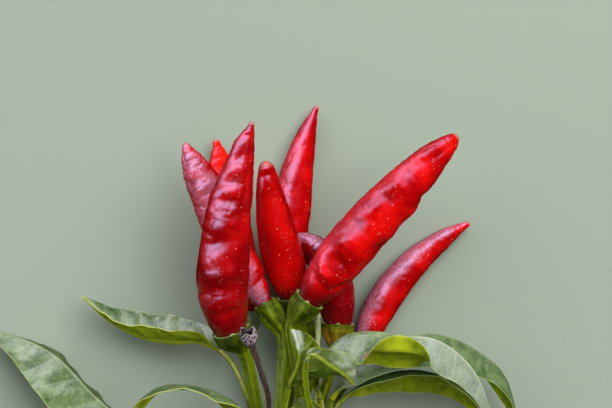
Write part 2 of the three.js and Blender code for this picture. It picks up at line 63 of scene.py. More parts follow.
# Each dent or crease is (share of the length, angle round the fruit from the side that faces up, half
# length in mm, half width in degrees, depth in mm, slant in mm for each radian round). A painted_reflection
# is a lavender reflection painted on where the skin faces the light: (the way that it faces, how well skin
# must face that way for it to start and to be full, how strong it is). painted_shade is (how dark the
# painted shade is at the cup, share of the length where that ends), and a stalk's shade darkens its cup
# with painted shade.
FRUITS = {
    "front_left": dict(
        skin="deep", base=(-17.9, -33.3, 26.5), middle=(-20.2, -13.8, 31), tip=(-13.4, 20.4, 33),
        radius=6.6, belly=0.31, shoulder=0.36, taper=1.6, point=0.72, lobes=0.03, turn=35,
        stalk=dict(angle=-80, along=0.8, lean=6, thick=1.45, cup=0.04, rim=4.3, neck=3.8, teeth=0.4,
                   shade=-0.16),
        dents=[
            (0.93, -20, 1.2, 34, 0.2, 0.6), (0.82, -18, 1.8, 42, 0.5, 1.0), (0.715, -24, 1.5, 46, 0.6, 0.8),
            (0.633, -18, 1.5, 44, 0.62, 0.4), (0.545, -60, 1.3, 30, 0.35, 0.8),
            (0.452, -22, 2.3, 50, 0.8, 1.4), (0.245, -20, 2.0, 52, 0.95, 1.0), (0.14, -10, 1.5, 54, 0.8, 0.6),
            (0.34, -40, 1.2, 26, 0.18, -1), (0.62, 34, 22, 8, 0.4, 0), (0.3, 44, 14, 9, 0.3, 0),
            (0.5, 78, 24, 12, 0.22, 0), (0.89, -80, 5, 48, -1.0, 0), (0.64, -82, 10, 48, -0.9, 0),
            (0.62, 150, 1.8, 60, 0.35, 1), (0.4, 170, 2, 60, 0.4, -1), (0.24, 130, 1.6, 50, 0.3, 1),
        ],
        lump=0.22, wrinkle=0.06, crease=0.16, painted_shade=(0.6, 0.75), painted_reflection=((-0.5, 0.5, 0.7), 0.75, 1.0, 0.1),
    ),
    "behind_left": dict(
        base=(-8.7, -28.1, 21), middle=(-20.8, -7, 18.3), tip=(-30.9, 15.6, 17.5),
        radius=4.9, belly=0.42, shoulder=0.75, taper=2.2, point=0.55, lobes=0.05, turn=10,
        stalk=dict(angle=-22, along=0.9, lean=2.5, thick=1.4, swollen=1.25, cup=0.06, rim=3.3, neck=5),
        dents=[
            (0.79, -34, 1.4, 34, 0.95, 0.8), (0.9, -10, 3.5, 40, 0.25, 0), (0.66, -12, 4, 42, 0.3, 0),
            (0.5, -30, 1.5, 50, 0.35, 1), (0.175, 40, 1.2, 60, 0.65, 0.5), (0.33, 50, 1.6, 40, 0.35, 0.6),
            (0.27, 62, 4.5, 40, -0.7, 0), (0.6, 160, 2, 60, 0.4, 1), (0.35, 150, 2, 60, 0.35, -1),
            (0.92, 85, 3, 50, -0.7, 0), (0.75, 88, 6, 50, -1.7, 0),
        ],
        lump=0.24, wrinkle=0.14, crease=0.24, painted_reflection=((-0.35, 0.35, 0.87), 0.3, 0.8, 0.55),
    ),
    "small_back_left": dict(
        skin="orange", base=(-15.2, -31.5, 8.96), middle=(-18.2, -7.3, 4.01), tip=(-23.7, 16.9, 3.56),
        radius=4.1, belly=0.4, shoulder=0.38, taper=2.1, point=0.56, lobes=0.04, turn=60,
        stalk=dict(angle=-125, along=0.83, lean=8, thick=1.1, cup=0.06, rim=2.9, neck=4),
        dents=[
            (0.7, 30, 2, 40, 0.25, 1), (0.45, -20, 2, 50, 0.3, 1), (0.25, 20, 1.6, 50, 0.25, 0),
            (0.86, -90, 4, 40, -1.1, 0), (0.66, 40, 1.4, 30, 0.5, 1),
        ],
        lump=0.18, wrinkle=0.05, crease=0.2,
    ),
    "middle": dict(
        skin="bright", base=(-3.2, -25.5, 16), middle=(-7, -8, 19.6), tip=(-10.4, 10.9, 23),
        radius=5.4, belly=0.42, shoulder=0.42, taper=1.5, point=0.55, lobes=0.02, turn=0,
        stalk=dict(angle=0, along=1, lean=6, thick=1.2, cup=0.05, rim=3.3, neck=4),
        dents=[
            (0.905, 0, 0.9, 50, 0.5, 0.2), (0.955, 0, 0.9, 70, -0.35, 0), (0.8, -8, 4, 16, 0.25, 0),
            (0.72, 14, 1.6, 12, 0.25, 0.6), (0.86, 60, 3.5, 50, 0.5, 0), (0.2, 30, 4, 40, 0.25, 0),
            (0.5, 175, 2, 60, 0.3, 1), (0.3, 140, 2, 50, 0.3, -1), (0.62, 78, 7, 42, 1.1, 0),
            (0.25, 85, 5, 40, -0.5, 0),
        ],
        # From pale_from on, the middle fruit's pale cap is a painted highlight.
        lump=0.1, wrinkle=0.03, crease=0.06, pale_from=0.95, pale=0.6, blunt=1.45,
    ),
    "tall_back": dict(
        base=(-0.6, -33.3, 9.22), middle=(-4.2, -5.5, 5.22), tip=(2.9, 25.6, 3.42),
        radius=4.65, belly=0.5, shoulder=0.4, taper=2.4, point=0.9, lobes=0.04, turn=20,
        stalk=dict(angle=165, along=0.88, lean=8, thick=1.2, cup=0.05, rim=3.1, neck=4),
        dents=[
            (0.62, 30, 2, 40, 0.25, 1), (0.78, -30, 2, 40, 0.25, 1), (0.48, 0, 2, 40, 0.25, 0),
            (0.3, 10, 2, 50, 0.25, 0), (0.55, 90, 9, 48, -0.8, 0),
        ],
        lump=0.16, wrinkle=0.05, painted_reflection=((-0.85, 0.4, 0.4), 0.45, 1.0, 0.2),
    ),
    "front_right": dict(
        skin="front", base=(-0.7, -26.1, 26.3), middle=(16.4, -4.8, 31), tip=(37.8, 17.2, 31.5),
        radius=6.35, belly=0.36, shoulder=0.5, taper=1.8, point=0.5, lobes=0.03, turn=50,
        stalk=dict(angle=54, along=0.9, lean=2, thick=1.25, cup=0.045, rim=3.9, neck=5, shade=-0.12),
        dents=[
            (0.272, 2, 2.4, 28, 1.5, -1), (0.2, -17, 1.3, 26, -0.95, -3), (0.15, -8, 1.1, 32, 0.8, -1),
            (0.192, 45, 1.4, 18, 0.8, 8), (0.345, -20, 2.0, 22, -0.6, 1), (0.085, -25, 0.9, 30, 0.3, 0),
            (0.533, -18, 3, 15, -0.35, 2), (0.6, -8, 2.4, 30, 0.5, 1), (0.663, -29, 3, 13, -0.3, 2),
            (0.44, -34, 2.4, 26, 0.55, 1), (0.73, -26, 2.6, 26, 0.5, 1), (0.42, 60, 2.2, 28, 0.4, 1),
            (0.71, 84, 2.2, 22, 0.5, 0), (0.63, 80, 3, 22, -0.3, 0), (0.55, 76, 2.4, 24, 0.35, 0),
            (0.805, -30, 1.3, 20, 0.35, 0), (0.84, -5, 2.4, 15, 0.36, 0), (0.885, 4, 2.6, 14, 0.42, 0),
            (0.93, 10, 2.6, 15, 0.36, 0), (0.5, 170, 2.4, 60, 0.4, 1), (0.3, 150, 2, 60, 0.4, -1),
            (0.72, 150, 2, 50, 0.3, 1),
        ],
        lump=0.22, wrinkle=0.06, crease=0.18, painted_reflection=((-0.6, 0.5, 0.62), 0.7, 1.0, 0.12),
    ),
    "under_front_right": dict(
        skin="painted_shade", blush=0.9, base=(7.9, -33.2, 15.2), middle=(6.2, -17.4, 13.8), tip=(-3.1, -8.2, 12.8),
        radius=4.9, belly=0.4, shoulder=0.36, taper=2, point=0.55, lobes=0.03, turn=30,
        stalk=dict(angle=102, along=0.9, lean=6, thick=1.2, cup=0.07, rim=3.6, neck=3.6),
        dents=[
            (0.3, 50, 1.6, 30, 0.3, 0.5), (0.6, 100, 3, 40, 0.3, 0), (0.5, 190, 2, 60, 0.3, 1),
        ],
        lump=0.14, wrinkle=0.04, painted_reflection=((-0.3, 0.8, 0.5), 0.6, 1.0, 0.95),
    ),
    "low_right": dict(
        base=(14.4, -37.2, 8.39), middle=(25.4, -18.6, 4.19), tip=(42.8, -4.9, 2.79),
        radius=4.35, belly=0.36, shoulder=0.38, taper=1.7, point=0.65, lobes=0.04, turn=15,
        stalk=dict(angle=135, along=0.8, lean=6, thick=1.2, cup=0.05, rim=3.3, neck=4),
        dents=[
            (0.2, 0, 2, 30, 0.45, 1), (0.4, 10, 2.4, 40, 0.3, 1), (0.62, -10, 2.4, 40, 0.25, 1),
            (0.78, 20, 3, 30, 0.2, 0),
        ],
        lump=0.16, wrinkle=0.05, painted_reflection=((-0.62, 0.62, 0.48), 0.45, 1.0, 0.7),
    ),
}

# As in the part's source, with how each half bends away from the midrib in degrees along the blade, at the
# midrib and at the rim, where across the half it turns from one to the other, and how strongly the margins
# wave. An outline is (half width in mm, where it is broadest, share of the blade that narrows to a point).
# A blemish is (share of the blade, mm from its middle, mm across, how strong it is), and painted_sheen is
# how strongly a whitish painted sheen covers the blade's upper side; painted_sheen_below is how much of it
# lies on the under side as well.
LEAVES = {
    "right_front": dict(
        foot=(62, 0.72), stalk=0.27, half=10, above=(0.15, 1, 0.1), wave=0.6, waves=4,
        through=[(3.2, -44, 26.2), (4.2, -38.5, 27.5), (8.5, -33.6, 28.2), (14.2, -31.9, 29.2),
                 (26.2, -32.9, 30), (32.8, -34, 30), (39.4, -38.6, 29.5), (43.9, -44.9, 28),
                 (47.7, -56.8, 25)],
        right=((-45, -48, -50, -52, -56, -66, -66, -60, -55, -60, -60, -62, -60),
               (-60, -62, -62, -60, -48, 70, 82, 5, -55, -60, -58, -52, -50)), turn=(0.42, 0.66),
        left=((-60, -65, -65, -60, -40, -35, -40), (-60, -75, -75, -70, -50, -50, -40)),
        blemishes=[(0.17, 3.4, 0.7, 0.9), (0.36, 8.0, 1.9, 0.8)],
        painted_sheen=lambda blade, off: (0.62 * smoothstep(blade, 0.44, 0.58)
                                    * (1 - 0.6 * smoothstep(blade, 0.85, 1))),
    ),
    "right_back": dict(
        foot=(98, 0.68), stalk=0.25, half=9, above=(0.25, 1, 0), wave=0.5, waves=3,
        through=[(6.5, -50, 18.5), (12, -41, 18.8), (20, -35.2, 18.5), (28, -33.2, 17.8), (36, -33.6, 16.5),
                 (46.7, -39.5, 13.5), (51.4, -44.5, 11.5), (55.5, -58, 6)],
        right=((-30, -60, -65, -50, -40), (-40, -70, -70, -55, -40)),
        left=((-20, -40, -45, -40, -40), (-30, -50, -55, -50, -40)),
    ),
    "right_low": dict(
        foot=(125, 0.58), stalk=0.36, half=7, above=(0.1, 1, 0.1), wave=0.4, waves=2,
        through=[(4.8, -60.5, 10.8), (8, -52, 13.8), (11.3, -48.2, 14.8), (16.5, -45, 14.5),
                 (25, -42.8, 12.5), (34, -44, 9.5), (42, -49, 6), (47, -57, 2)],
        right=((0, 5, 0, -20), (10, 0, -20, -30)),
        left=((-45, -60, -60, -50), (-60, -70, -60, -50)),
    ),
    "centre_curled": dict(
        foot=(-5, 0.74), stalk=0.66, half=6, broadest=0.5, above=(0.4, 0, -1), wave=0.3, waves=2,
        through=[(-6, -60, 24.5), (-5.6, -52, 28.6), (-4, -45, 31.8), (-2.3, -41, 33.4), (-1.7, -38, 34.2),
                 (-2.1, -35.2, 34.5), (-3.3, -31, 34.6)],
        right=((50, 60, 60, 40), (70, 80, 80, 50)),
        left=((10, 10, 15, 20), (30, 50, 50, 30)), painted_sheen_below=1,
        painted_sheen=lambda blade, off: 0.95 * smoothstep(blade, 0.56, 0.76) * smoothstep(off, -2.2, -1.0),
    ),
    "centre_pointed": dict(
        foot=(42, 0.76), stalk=0.72, half=4.9, broadest=0.6, above=(0.1, 0.2, 1), wave=0.3, waves=2,
        through=[(1.4, -61, 25), (1.6, -53.5, 31.6), (0.2, -46.6, 35.2), (-0.2, -41.5, 37.1),
                 (0.4, -38.4, 38.2), (1.3, -37, 38.6), (2.8, -37.5, 38.7), (5.3, -39.3, 38.6),
                 (8.2, -41.4, 38.3), (10.5, -43.4, 37.9), (11.7, -44.8, 37.3)],
        right=((-15, -22, -40, -80, -95), (-20, -30, -60, -95, -100)), right_outline=(5.4, 0.38, 0),
        left=((-20, -20, -18, -15), (-25, -25, -25, -20)), left_outline=(5.7, 0.72, 0.2),
        painted_sheen=lambda blade, off: 0.5 * smoothstep(-off, 0.3, 1.6) * smoothstep(blade, 0.25, 0.6),
    ),
    "centre_low": dict(
        foot=(20, 0.6), stalk=0.55, half=3.6, above=(0.2, 1, 0), wave=0.3, waves=2,
        through=[(-3.2, -65, 20), (-3, -57, 24.6), (-3, -51.5, 27.5), (-1.8, -48.6, 28.8), (1.5, -49, 28.8),
                 (5, -52, 28), (8, -57.5, 26.5)],
        right=((-45, -60, -65, -50), (-60, -70, -65, -50)),
        left=((10, -20, -30, -30), (0, -30, -40, -40)),
    ),
    "left_back": dict(
        foot=(-110, 0.72), stalk=0.47, half=7.5, above=(0, 1, 0), wave=0.5, waves=3,
        through=[(-14.6, -51, 14), (-20, -39.6, 13.6), (-27, -35.4, 12.6), (-34, -35.4, 12),
                 (-41.5, -34.4, 11), (-50, -30.5, 9.5), (-58, -23.8, 7.5)],
        left=((20, 25, 20, 10), (30, 35, 20, 0)),
        right=((50, 60, 50, 30), (65, 65, 45, 20)),
    ),
    "left_front": dict(
        foot=(-82, 0.62), stalk=0.32, half=7, above=(0, 1, 0), wave=0.4, waves=3,
        through=[(-14.5, -57, 18.5), (-17.6, -51, 22.2), (-21.7, -48, 24.4), (-29.5, -45.7, 25),
                 (-36.5, -46, 24.8), (-41.8, -49.5, 23.8), (-46.5, -57, 22)],
        left=((-12, -14, -8, -10, -20), (-25, -20, 0, -15, -30)),
        right=((-5, -5, -5, -10, -20), (-20, -15, -15, -20, -30)),
    ),
    "far_left": dict(
        foot=(-95, 0.4), stalk=0.42, half=11, above=(0, 1, 0), wave=0.8, waves=3,
        through=[(-15, -75, 10.5), (-29, -67.5, 12.5), (-42, -59, 13.5), (-53.4, -50.3, 13), (-65, -39, 11),
                 (-76, -34, 8), (-84, -33, 5)],
        left=((-40, -60, -60, -50), (-60, -65, -55, -40)),
        right=((0, -5, -5, -10), (-10, -15, -15, -15)),
    ),
}

THIN_STALKS = {
    "dried_stalk": dict(
        foot=(-55, 0.86), through=[(-9.4, -49, 28.3), (-11.3, -41.5, 32.4), (-13.2, -35.9, 34.6)],
        radius=0.62, head_length=4.6, head_radius=2.3,
    ),
    "young_stalk_right": dict(
        foot=(77, 0.82), through=[(2.6, -45, 19.6), (3, -36, 20.8), (3, -29.6, 21.2)],
        radius=0.6, head_length=2.4, head_radius=0.85,
    ),
    "young_stalk_left": dict(
        foot=(-155, 0.72), through=[(-12, -47, 5.4), (-15.8, -39.6, 5.2), (-19.6, -36.4, 5.4)],
        radius=0.6, head_length=3.6, head_radius=1.7,
    ),
}


# ---- sums on places, angles and noise ----

def unit(vectors):
    vectors = np.asarray(vectors, float)
    return vectors / np.linalg.norm(vectors, axis=-1, keepdims=True)


def mix(low, high, share):
    return low + (high - low) * share


def smoothstep(value, low, high):
    share = np.clip((np.asarray(value, float) - low) / (high - low), 0, 1)
    return share * share * (3 - 2 * share)


def bell(distance):
    return np.exp(-distance * distance)


def ring_angles(sides):
    return 2 * np.pi * np.arange(sides) / sides


LATTICE_SIZE, SEED_SHIFT = 32, 5.7
LATTICE = np.random.default_rng(7).random((LATTICE_SIZE,) * 3) * 2 - 1


def lumps(points, size, seed=0):
    """Smooth noise from -1 to 1 at places in mm, with lumps of a size in mm."""
    places = np.asarray(points, float) / size + SEED_SHIFT * seed
    low = np.floor(places).astype(int)
    into = places - low
    into = into * into * (3 - 2 * into)
    total = np.zeros(places.shape[:-1])
    for corner in itertools.product((0, 1), repeat=3):
        weight = np.prod(np.where(corner, into, 1 - into), axis=-1)
        cell = (low + np.array(corner)) % LATTICE_SIZE
        total += weight * LATTICE[cell[..., 0], cell[..., 1], cell[..., 2]]
    return total


def crumpled(points, size, seed):
    """Sharp folds from -1 to 1: crests where smooth noise passes through nought."""
    return 1 - 2.6 * np.abs(lumps(points, size, seed))


class Line:
    """A curve that is read by the share of its length."""

    def __init__(self, points):
        self.points = points
        steps = np.linalg.norm(np.diff(points, axis=0), axis=1)
        self.length = steps.sum()
        self.shares = np.concatenate([[0], np.cumsum(steps)]) / self.length
        self.ways = unit(np.gradient(points, axis=0))

    def read(self, values, share):
        return np.stack([np.interp(share, self.shares, column) for column in values.T], axis=-1)

    def place(self, share):
        return self.read(self.points, share)

    def way(self, share):
        return unit(self.read(self.ways, share))


def bend(t, start, control, end):
    return (1 - t) ** 2 * start + 2 * t * (1 - t) * control + t * t * end


def cubic_line(start, first, second, end, steps=200):
    t = np.linspace(0, 1, steps)[:, None]
    near_start = (1 - t) ** 3 * start + 3 * t * (1 - t) ** 2 * first
    return Line(near_start + 3 * t * t * (1 - t) * second + t ** 3 * end)


def smooth_line(points, steps=60):
    """A centripetal Catmull-Rom curve through points."""
    points = [np.array(point, float) for point in points]
    points = [2 * points[0] - points[1], *points, 2 * points[-1] - points[-2]]
    t = np.linspace(0, 1, steps, endpoint=False)[:, None]
    parts = []
    for before, start, end, after in zip(points, points[1:], points[2:], points[3:]):
        gaps = [np.linalg.norm(b - a) ** 0.5 for a, b in ((before, start), (start, end), (end, after))]
        leave = (start - before) / gaps[0] - (end - before) / (gaps[0] + gaps[1]) + (end - start) / gaps[1]
        arrive = (end - start) / gaps[1] - (after - start) / (gaps[1] + gaps[2]) + (after - end) / gaps[2]
        leave, arrive = leave * gaps[1], arrive * gaps[1]
        parts.append(start + leave * t + (3 * (end - start) - 2 * leave - arrive) * t ** 2
                     + (2 * (start - end) + leave + arrive) * t ** 3)
    return Line(np.concatenate([*parts, points[-2][None]]))


def channels(*values):
    """Values side by side along a new last axis, each spread over the shape that all of them need."""
    return np.stack(np.broadcast_arrays(*values), axis=-1)


def across(ways, towards=UP):
    """Directions across lines that run along ways: out is nearest to towards, and side completes them."""
    towards = np.broadcast_to(np.asarray(towards, float), np.shape(ways))
    out = unit(towards - np.sum(towards * ways, axis=-1, keepdims=True) * ways)
    return out, np.cross(ways, out)


def spokes(ways, angles):
    """Directions round lines that run along ways, at angles from the side that faces up."""
    out, side = across(ways)
    return out * np.cos(angles)[:, None] + side * np.sin(angles)[:, None]


def tube(line, shares, angles, radii):
    """Rings round a line: a row for each row of shares of its length and a column for each angle."""
    return line.place(shares) + spokes(line.way(shares), angles) * radii[..., None]


def pushed(rows, centres, distance):
    """Points moved away from their centres by a distance in mm."""
    return rows + unit(rows - centres) * distance[..., None]


# ---- making pieces ----

def uv_corners(*corners):
    """Where faces' corners lie on the UV map, each given as how far across and how far along it is."""
    return np.stack([channels(*corner) for corner in corners], axis=-2).reshape(-1, 2)


def add_piece(name, rows, materials, masks, part_of=None, material_of=None, start=None, end=None):
    """A closed piece through rows of points that wrap round, with a point at the start and the end, which is
    the middle of that row where none is given. masks is red, green and blue for each point, which materials
    read, and material_of gives each grid point's face its place in materials."""
    count, sides = rows.shape[:2]
    caps = [rows[0].mean(axis=0) if start is None else start, rows[-1].mean(axis=0) if end is None else end]
    verts = np.concatenate([rows.reshape(-1, 3), caps])
    verts[:, 2] = np.maximum(verts[:, 2], 0)
    column = np.arange(sides)
    after = (column + 1) % sides
    low = np.arange(count - 1)[:, None] * sides
    high = low + sides
    quads = np.stack([low + column, low + after, high + after, high + column], axis=-1).reshape(-1, 4)
    last_row, first_cap = (count - 1) * sides, count * sides
    start_fan = np.stack([np.full(sides, first_cap), after, column], axis=1)
    end_fan = np.stack([last_row + column, last_row + after, np.full(sides, first_cap + 1)], axis=1)
    mesh = bpy.data.meshes.new(name)
    faces = start_fan.tolist() + quads.tolist() + end_fan.tolist()
    mesh.from_pydata(((verts - MIDDLE_OF_BOX) / METRE).tolist(), [], faces)
    along = np.linspace(0.01, 0.99, count)
    near, far = column / sides, (column + 1) / sides
    low, high = along[:-1, None], along[1:, None]
    places = np.concatenate([
        uv_corners((near, 0), (far, along[0]), (near, along[0])),
        uv_corners((near, low), (far, low), (far, high), (near, high)),
        uv_corners((near, along[-1]), (far, along[-1]), (near, 1)),
    ])
    mesh.uv_layers.new(name="UVMap").data.foreach_set("uv", places.astype(np.float32).ravel())
    for material in materials:
        mesh.materials.append(material)
    if material_of is not None:
        index = np.concatenate([material_of[0], material_of[:-1].ravel(), material_of[-1]])
        mesh.polygons.foreach_set("material_index", index.astype(np.int32))
    masks = np.broadcast_to(masks, rows.shape)
    colours = np.ones((len(verts), 4), np.float32)
    of_caps = [masks[0].mean(axis=0), masks[-1].mean(axis=0)]
    colours[:, :3] = np.concatenate([masks.reshape(-1, 3), of_caps])
    attribute = mesh.color_attributes.new(name="masks", type="FLOAT_COLOR", domain="POINT")
    attribute.data.foreach_set("color", colours.ravel())
    mesh.polygons.foreach_set("use_smooth", np.ones(len(mesh.polygons), bool))
    mesh.update()
    piece = bpy.data.objects.new(name, mesh)
    bpy.context.scene.collection.objects.link(piece)
    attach(piece, "root")
    if part_of:
        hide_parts(part_of)


# ---- materials ----

MIX_FIRST, MIX_SECOND, MIX_RESULT = 6, 7, 2  # the colour sockets of a Mix node


class Look:
    """A material whose shader is put together from nodes. Where a node takes another one's output, "Red",
    "Green" or "Blue" stands for that channel of the piece's masks."""

    def __init__(self, name, colour, **settings):
        self.material = bpy.data.materials.new(name)
        self.material.use_nodes = True
        self.tree = self.material.node_tree
        self.shader = self.tree.nodes["Principled BSDF"]
        self.place = self.add("ShaderNodeTexCoord").outputs["Object"]
        self.colour = (*colour, 1)
        self.relief = {}
        self.set(**settings)

    def feed(self, node, inputs):
        for key, value in inputs.items():
            if isinstance(value, str):
                masks = self.add("ShaderNodeAttribute", attribute_name="masks").outputs["Color"]
                value = self.add("ShaderNodeSeparateColor", {"Color": masks}).outputs[value]
            if isinstance(value, bpy.types.NodeSocket):
                self.tree.links.new(value, node.inputs[key])
            else:
                node.inputs[key].default_value = value

    def add(self, kind, inputs=None, **settings):
        node = self.tree.nodes.new(kind)
        for key, value in settings.items():
            setattr(node, key, value)
        self.feed(node, inputs or {})
        return node

    def set(self, **settings):
        self.feed(self.shader, {key.replace("_", " "): value for key, value in settings.items()})

    def scaled(self, size, stretch):
        scale = [METRE / size * s for s in stretch]
        return self.add("ShaderNodeMapping", {"Scale": scale, "Vector": self.place}).outputs["Vector"]

    def noise(self, size, detail=3, stretch=(1, 1, 1), rough=0.5):
        """Noise from 0 to 1 whose lumps have a size in mm."""
        inputs = {"Scale": 1, "Detail": detail, "Roughness": rough, "Vector": self.scaled(size, stretch)}
        return self.add("ShaderNodeTexNoise", inputs).outputs["Fac"]

    def cells(self, size, stretch=(1, 1, 1), feature="F1"):
        """Distance to the nearest of scattered points, about a size in mm apart, as a share of that size."""
        inputs = {"Scale": 1, "Vector": self.scaled(size, stretch)}
        return self.add("ShaderNodeTexVoronoi", inputs, feature=feature).outputs["Distance"]

    def edges(self, size):
        """Distance to the nearest edge between cells, about a size in mm wide, as a share of that size."""
        return self.cells(size, feature="DISTANCE_TO_EDGE")

    def ramp(self, source, low, high, out_low=0, out_high=1):
        inputs = {"Value": source, "From Min": low, "From Max": high, "To Min": out_low, "To Max": out_high}
        return self.add("ShaderNodeMapRange", inputs, interpolation_type="SMOOTHSTEP").outputs["Result"]

    def times(self, first, second):
        return self.add("ShaderNodeMath", {0: first, 1: second}, operation="MULTIPLY").outputs["Value"]

    def plus(self, first, second):
        return self.add("ShaderNodeMath", {0: first, 1: second}, operation="ADD").outputs["Value"]

    def paint(self, share, colour):
        """Covers a share of the colour so far with another."""
        inputs = {"Factor": share, MIX_FIRST: self.colour, MIX_SECOND: (*colour, 1)}
        self.colour = self.add("ShaderNodeMix", inputs, data_type="RGBA").outputs[MIX_RESULT]
        self.set(Base_Color=self.colour)

    def bump(self, height, depth, strength=1):
        """Adds relief of a depth in mm where height goes from 0 to 1."""
        inputs = {"Strength": strength, "Distance": depth / METRE, "Height": height, **self.relief}
        self.relief = {"Normal": self.add("ShaderNodeBump", inputs).outputs["Normal"]}
        self.set(**self.relief)


def fruit_skin(name, deep, bright, index=1.58):
    """Glossy ripe skin. masks: red is how pale the tip is, on the middle fruit's broad cap a painted
    highlight, green how dark the painted shade is towards the stalk and in the hollows of dents, and blue
    where a lavender reflection of the light is painted on in fine speckles."""
    look = Look(name, deep, IOR=index, Specular_Tint=(0.6, 0.62, 1, 1))
    look.paint(look.ramp(look.noise(7, detail=4), 0.36, 0.66), bright)
    mottle = look.noise(1.6, detail=5, rough=0.65)
    look.paint(look.ramp(mottle, 0.56, 0.78, 0, 0.4), [c * 0.55 for c in deep])
    # Painted shade towards the stalk and in the hollows of dents.
    look.paint(look.ramp("Green", 0, 1, 0, 0.8), (0.09, 0.001, 0.003))
    specks = look.ramp(look.cells(1.5), 0.06, 0.12, 1, 0)
    specks = look.times(specks, look.ramp(look.noise(2.6, detail=2), 0.5, 0.56))
    dashes = look.ramp(look.cells(0.85, stretch=(0.8, 1.5, 1)), 0.1, 0.22, 1, 0)
    dashes = look.times(dashes, look.ramp(look.noise(5), 0.5, 0.62))
    look.paint(look.times(dashes, 0.45), (0.85, 0.3, 0.12))
    look.paint(look.times(specks, 0.75), (0.95, 0.5, 0.34))
    # A lavender painted reflection in fine speckles where the skin faces the light.
    reflection_speckle = look.ramp(look.noise(0.6, rough=0.7), 0.38, 0.6, 0.4, 1)
    look.paint(look.times("Blue", reflection_speckle), (0.6, 0.27, 0.42))
    # The pale tip, on the middle fruit's broad cap a painted highlight.
    look.paint("Red", (0.6, 0.24, 0.2))
    rough = look.ramp(look.noise(2.2, detail=5, rough=0.7), 0.3, 0.72, 0.06, 0.2)
    look.set(Roughness=look.plus(rough, look.ramp(look.noise(7, rough=0.6), 0.46, 0.6, 0, 0.06)))
    look.bump(look.noise(2.4), 0.2, 0.6)
    look.bump(look.noise(1.1, detail=2), 0.1, 0.8)
    look.bump(look.noise(0.5, detail=5, rough=0.75), 0.06)
    look.bump(specks, 0.06, 0.7)
    return look.material


def green_stalk(name, pale, deep, tint):
    """Fleshy green stalk. masks: red is the pale rim and its teeth, green goes from painted shade in the
    hollows between ribs and on shaded cups to the pale ribs, and blue is where it yellows."""
    look = Look(name, deep, IOR=1.38)
    # Painted shade where the masks' green is low, paler ribs where it is high.
    tone = look.plus("Green", look.ramp(look.noise(1.3, detail=5, rough=0.65), 0.3, 0.7, -0.12, 0.12))
    look.paint(look.ramp(tone, 0.05, 0.5), pale)
    look.paint(look.ramp(tone, 0.55, 0.95), tint)
    look.paint("Blue", (0.45, 0.2, 0.02))
    look.paint(look.ramp("Red", 0.1, 1, 0, 0.7), (0.36, 0.42, 0.16))
    flecks = look.ramp(look.cells(1.1), 0.07, 0.12, 1, 0)
    look.paint(look.times(flecks, 0.35), (0.5, 0.56, 0.2))
    look.set(Roughness=look.ramp(look.noise(1.5, detail=4), 0.3, 0.7, 0.32, 0.52))
    look.bump(look.noise(0.8, detail=4), 0.08, 0.6)
    look.bump(look.noise(0.3, detail=4), 0.03, 0.5)
    return look.material


PAINTED_SHEEN_MAX = 0.4


def leaf_face(name, deep, pale, vein, margin_highlight, sheen=0):
    """One side of a blade. masks: red is how near a vein is, green how near the margin, which is lined with a
    pale painted highlight, and blue how strong a whitish painted sheen is, up to the limit set just above, or
    above that a blemish."""
    look = Look(name, deep, IOR=1.42, Coat_Weight=sheen, Coat_Roughness=0.3, Subsurface_Weight=0.5,
                Subsurface_Scale=0.001, Subsurface_Radius=(0.9, 1.2, 0.2))
    look.paint(look.ramp(look.noise(3.4, detail=6, rough=0.68), 0.34, 0.66), pale)
    fine = look.noise(0.9, detail=5, rough=0.7)
    look.paint(look.ramp(fine, 0.5, 0.8, 0, 0.4), [c * 0.5 for c in deep])
    network = look.ramp(look.edges(1.2), 0.02, 0.1, 0.14, 0)
    look.paint(network, vein)
    look.paint(look.ramp("Red", 0, 1, 0, 0.6), vein)
    # A whitish painted sheen, with the veins and their fine network paler within it.
    look.paint(look.ramp("Blue", 0, PAINTED_SHEEN_MAX, 0, 0.85), (0.42, 0.47, 0.42))
    painted_sheen = look.ramp("Blue", 0, PAINTED_SHEEN_MAX)
    look.paint(look.times(look.ramp("Red", 0.05, 1), painted_sheen), (0.66, 0.72, 0.58))
    look.paint(look.times(network, painted_sheen), (0.75, 0.8, 0.65))
    # A pale painted highlight along the margin.
    look.paint("Green", margin_highlight)
    look.paint(look.ramp("Blue", PAINTED_SHEEN_MAX, 0.9), (0.33, 0.13, 0.06))
    look.set(Roughness=look.ramp(fine, 0.3, 0.7, 0.32, 0.52))
    look.bump(look.ramp(look.cells(1.3), 0.1, 0.6), 0.09, 0.5)
    look.bump(fine, 0.04, 0.6)
    return look.material


def dried_skin(name):
    """Withered stalk. masks: red is the crumpled cup's pale edge, green is black: dark streaks on the stalk,
    and on the cup its dark tone with painted shade inside it and in its hollows, and blue where the cup is
    papery, with a net of pale ridges."""
    look = Look(name, (0.02, 0.011, 0.013), IOR=1.4)
    tone = look.noise(1, detail=6, stretch=(1.6, 0.3, 1.6), rough=0.7)
    look.paint(look.ramp(tone, 0.36, 0.64), (0.15, 0.09, 0.075))
    # Black for the stalk's dark streaks and the cup's dark tone, with painted shade inside the cup and in its
    # hollows.
    look.paint("Green", (0.006, 0.003, 0.003))
    look.paint(look.ramp("Red", 0.3, 0.6, 0, 0.5), (0.2, 0.14, 0.16))
    net = look.ramp(look.edges(0.9), 0.02, 0.12, 0.85, 0)
    look.paint(look.times(look.ramp("Blue", 0, 1), net), (0.55, 0.45, 0.5))
    look.set(Roughness=look.ramp(tone, 0.3, 0.7, 0.5, 0.8))
    look.bump(look.noise(0.5, detail=6, stretch=(1.5, 0.5, 1.5), rough=0.75), 0.16, 0.9)
    return look.material


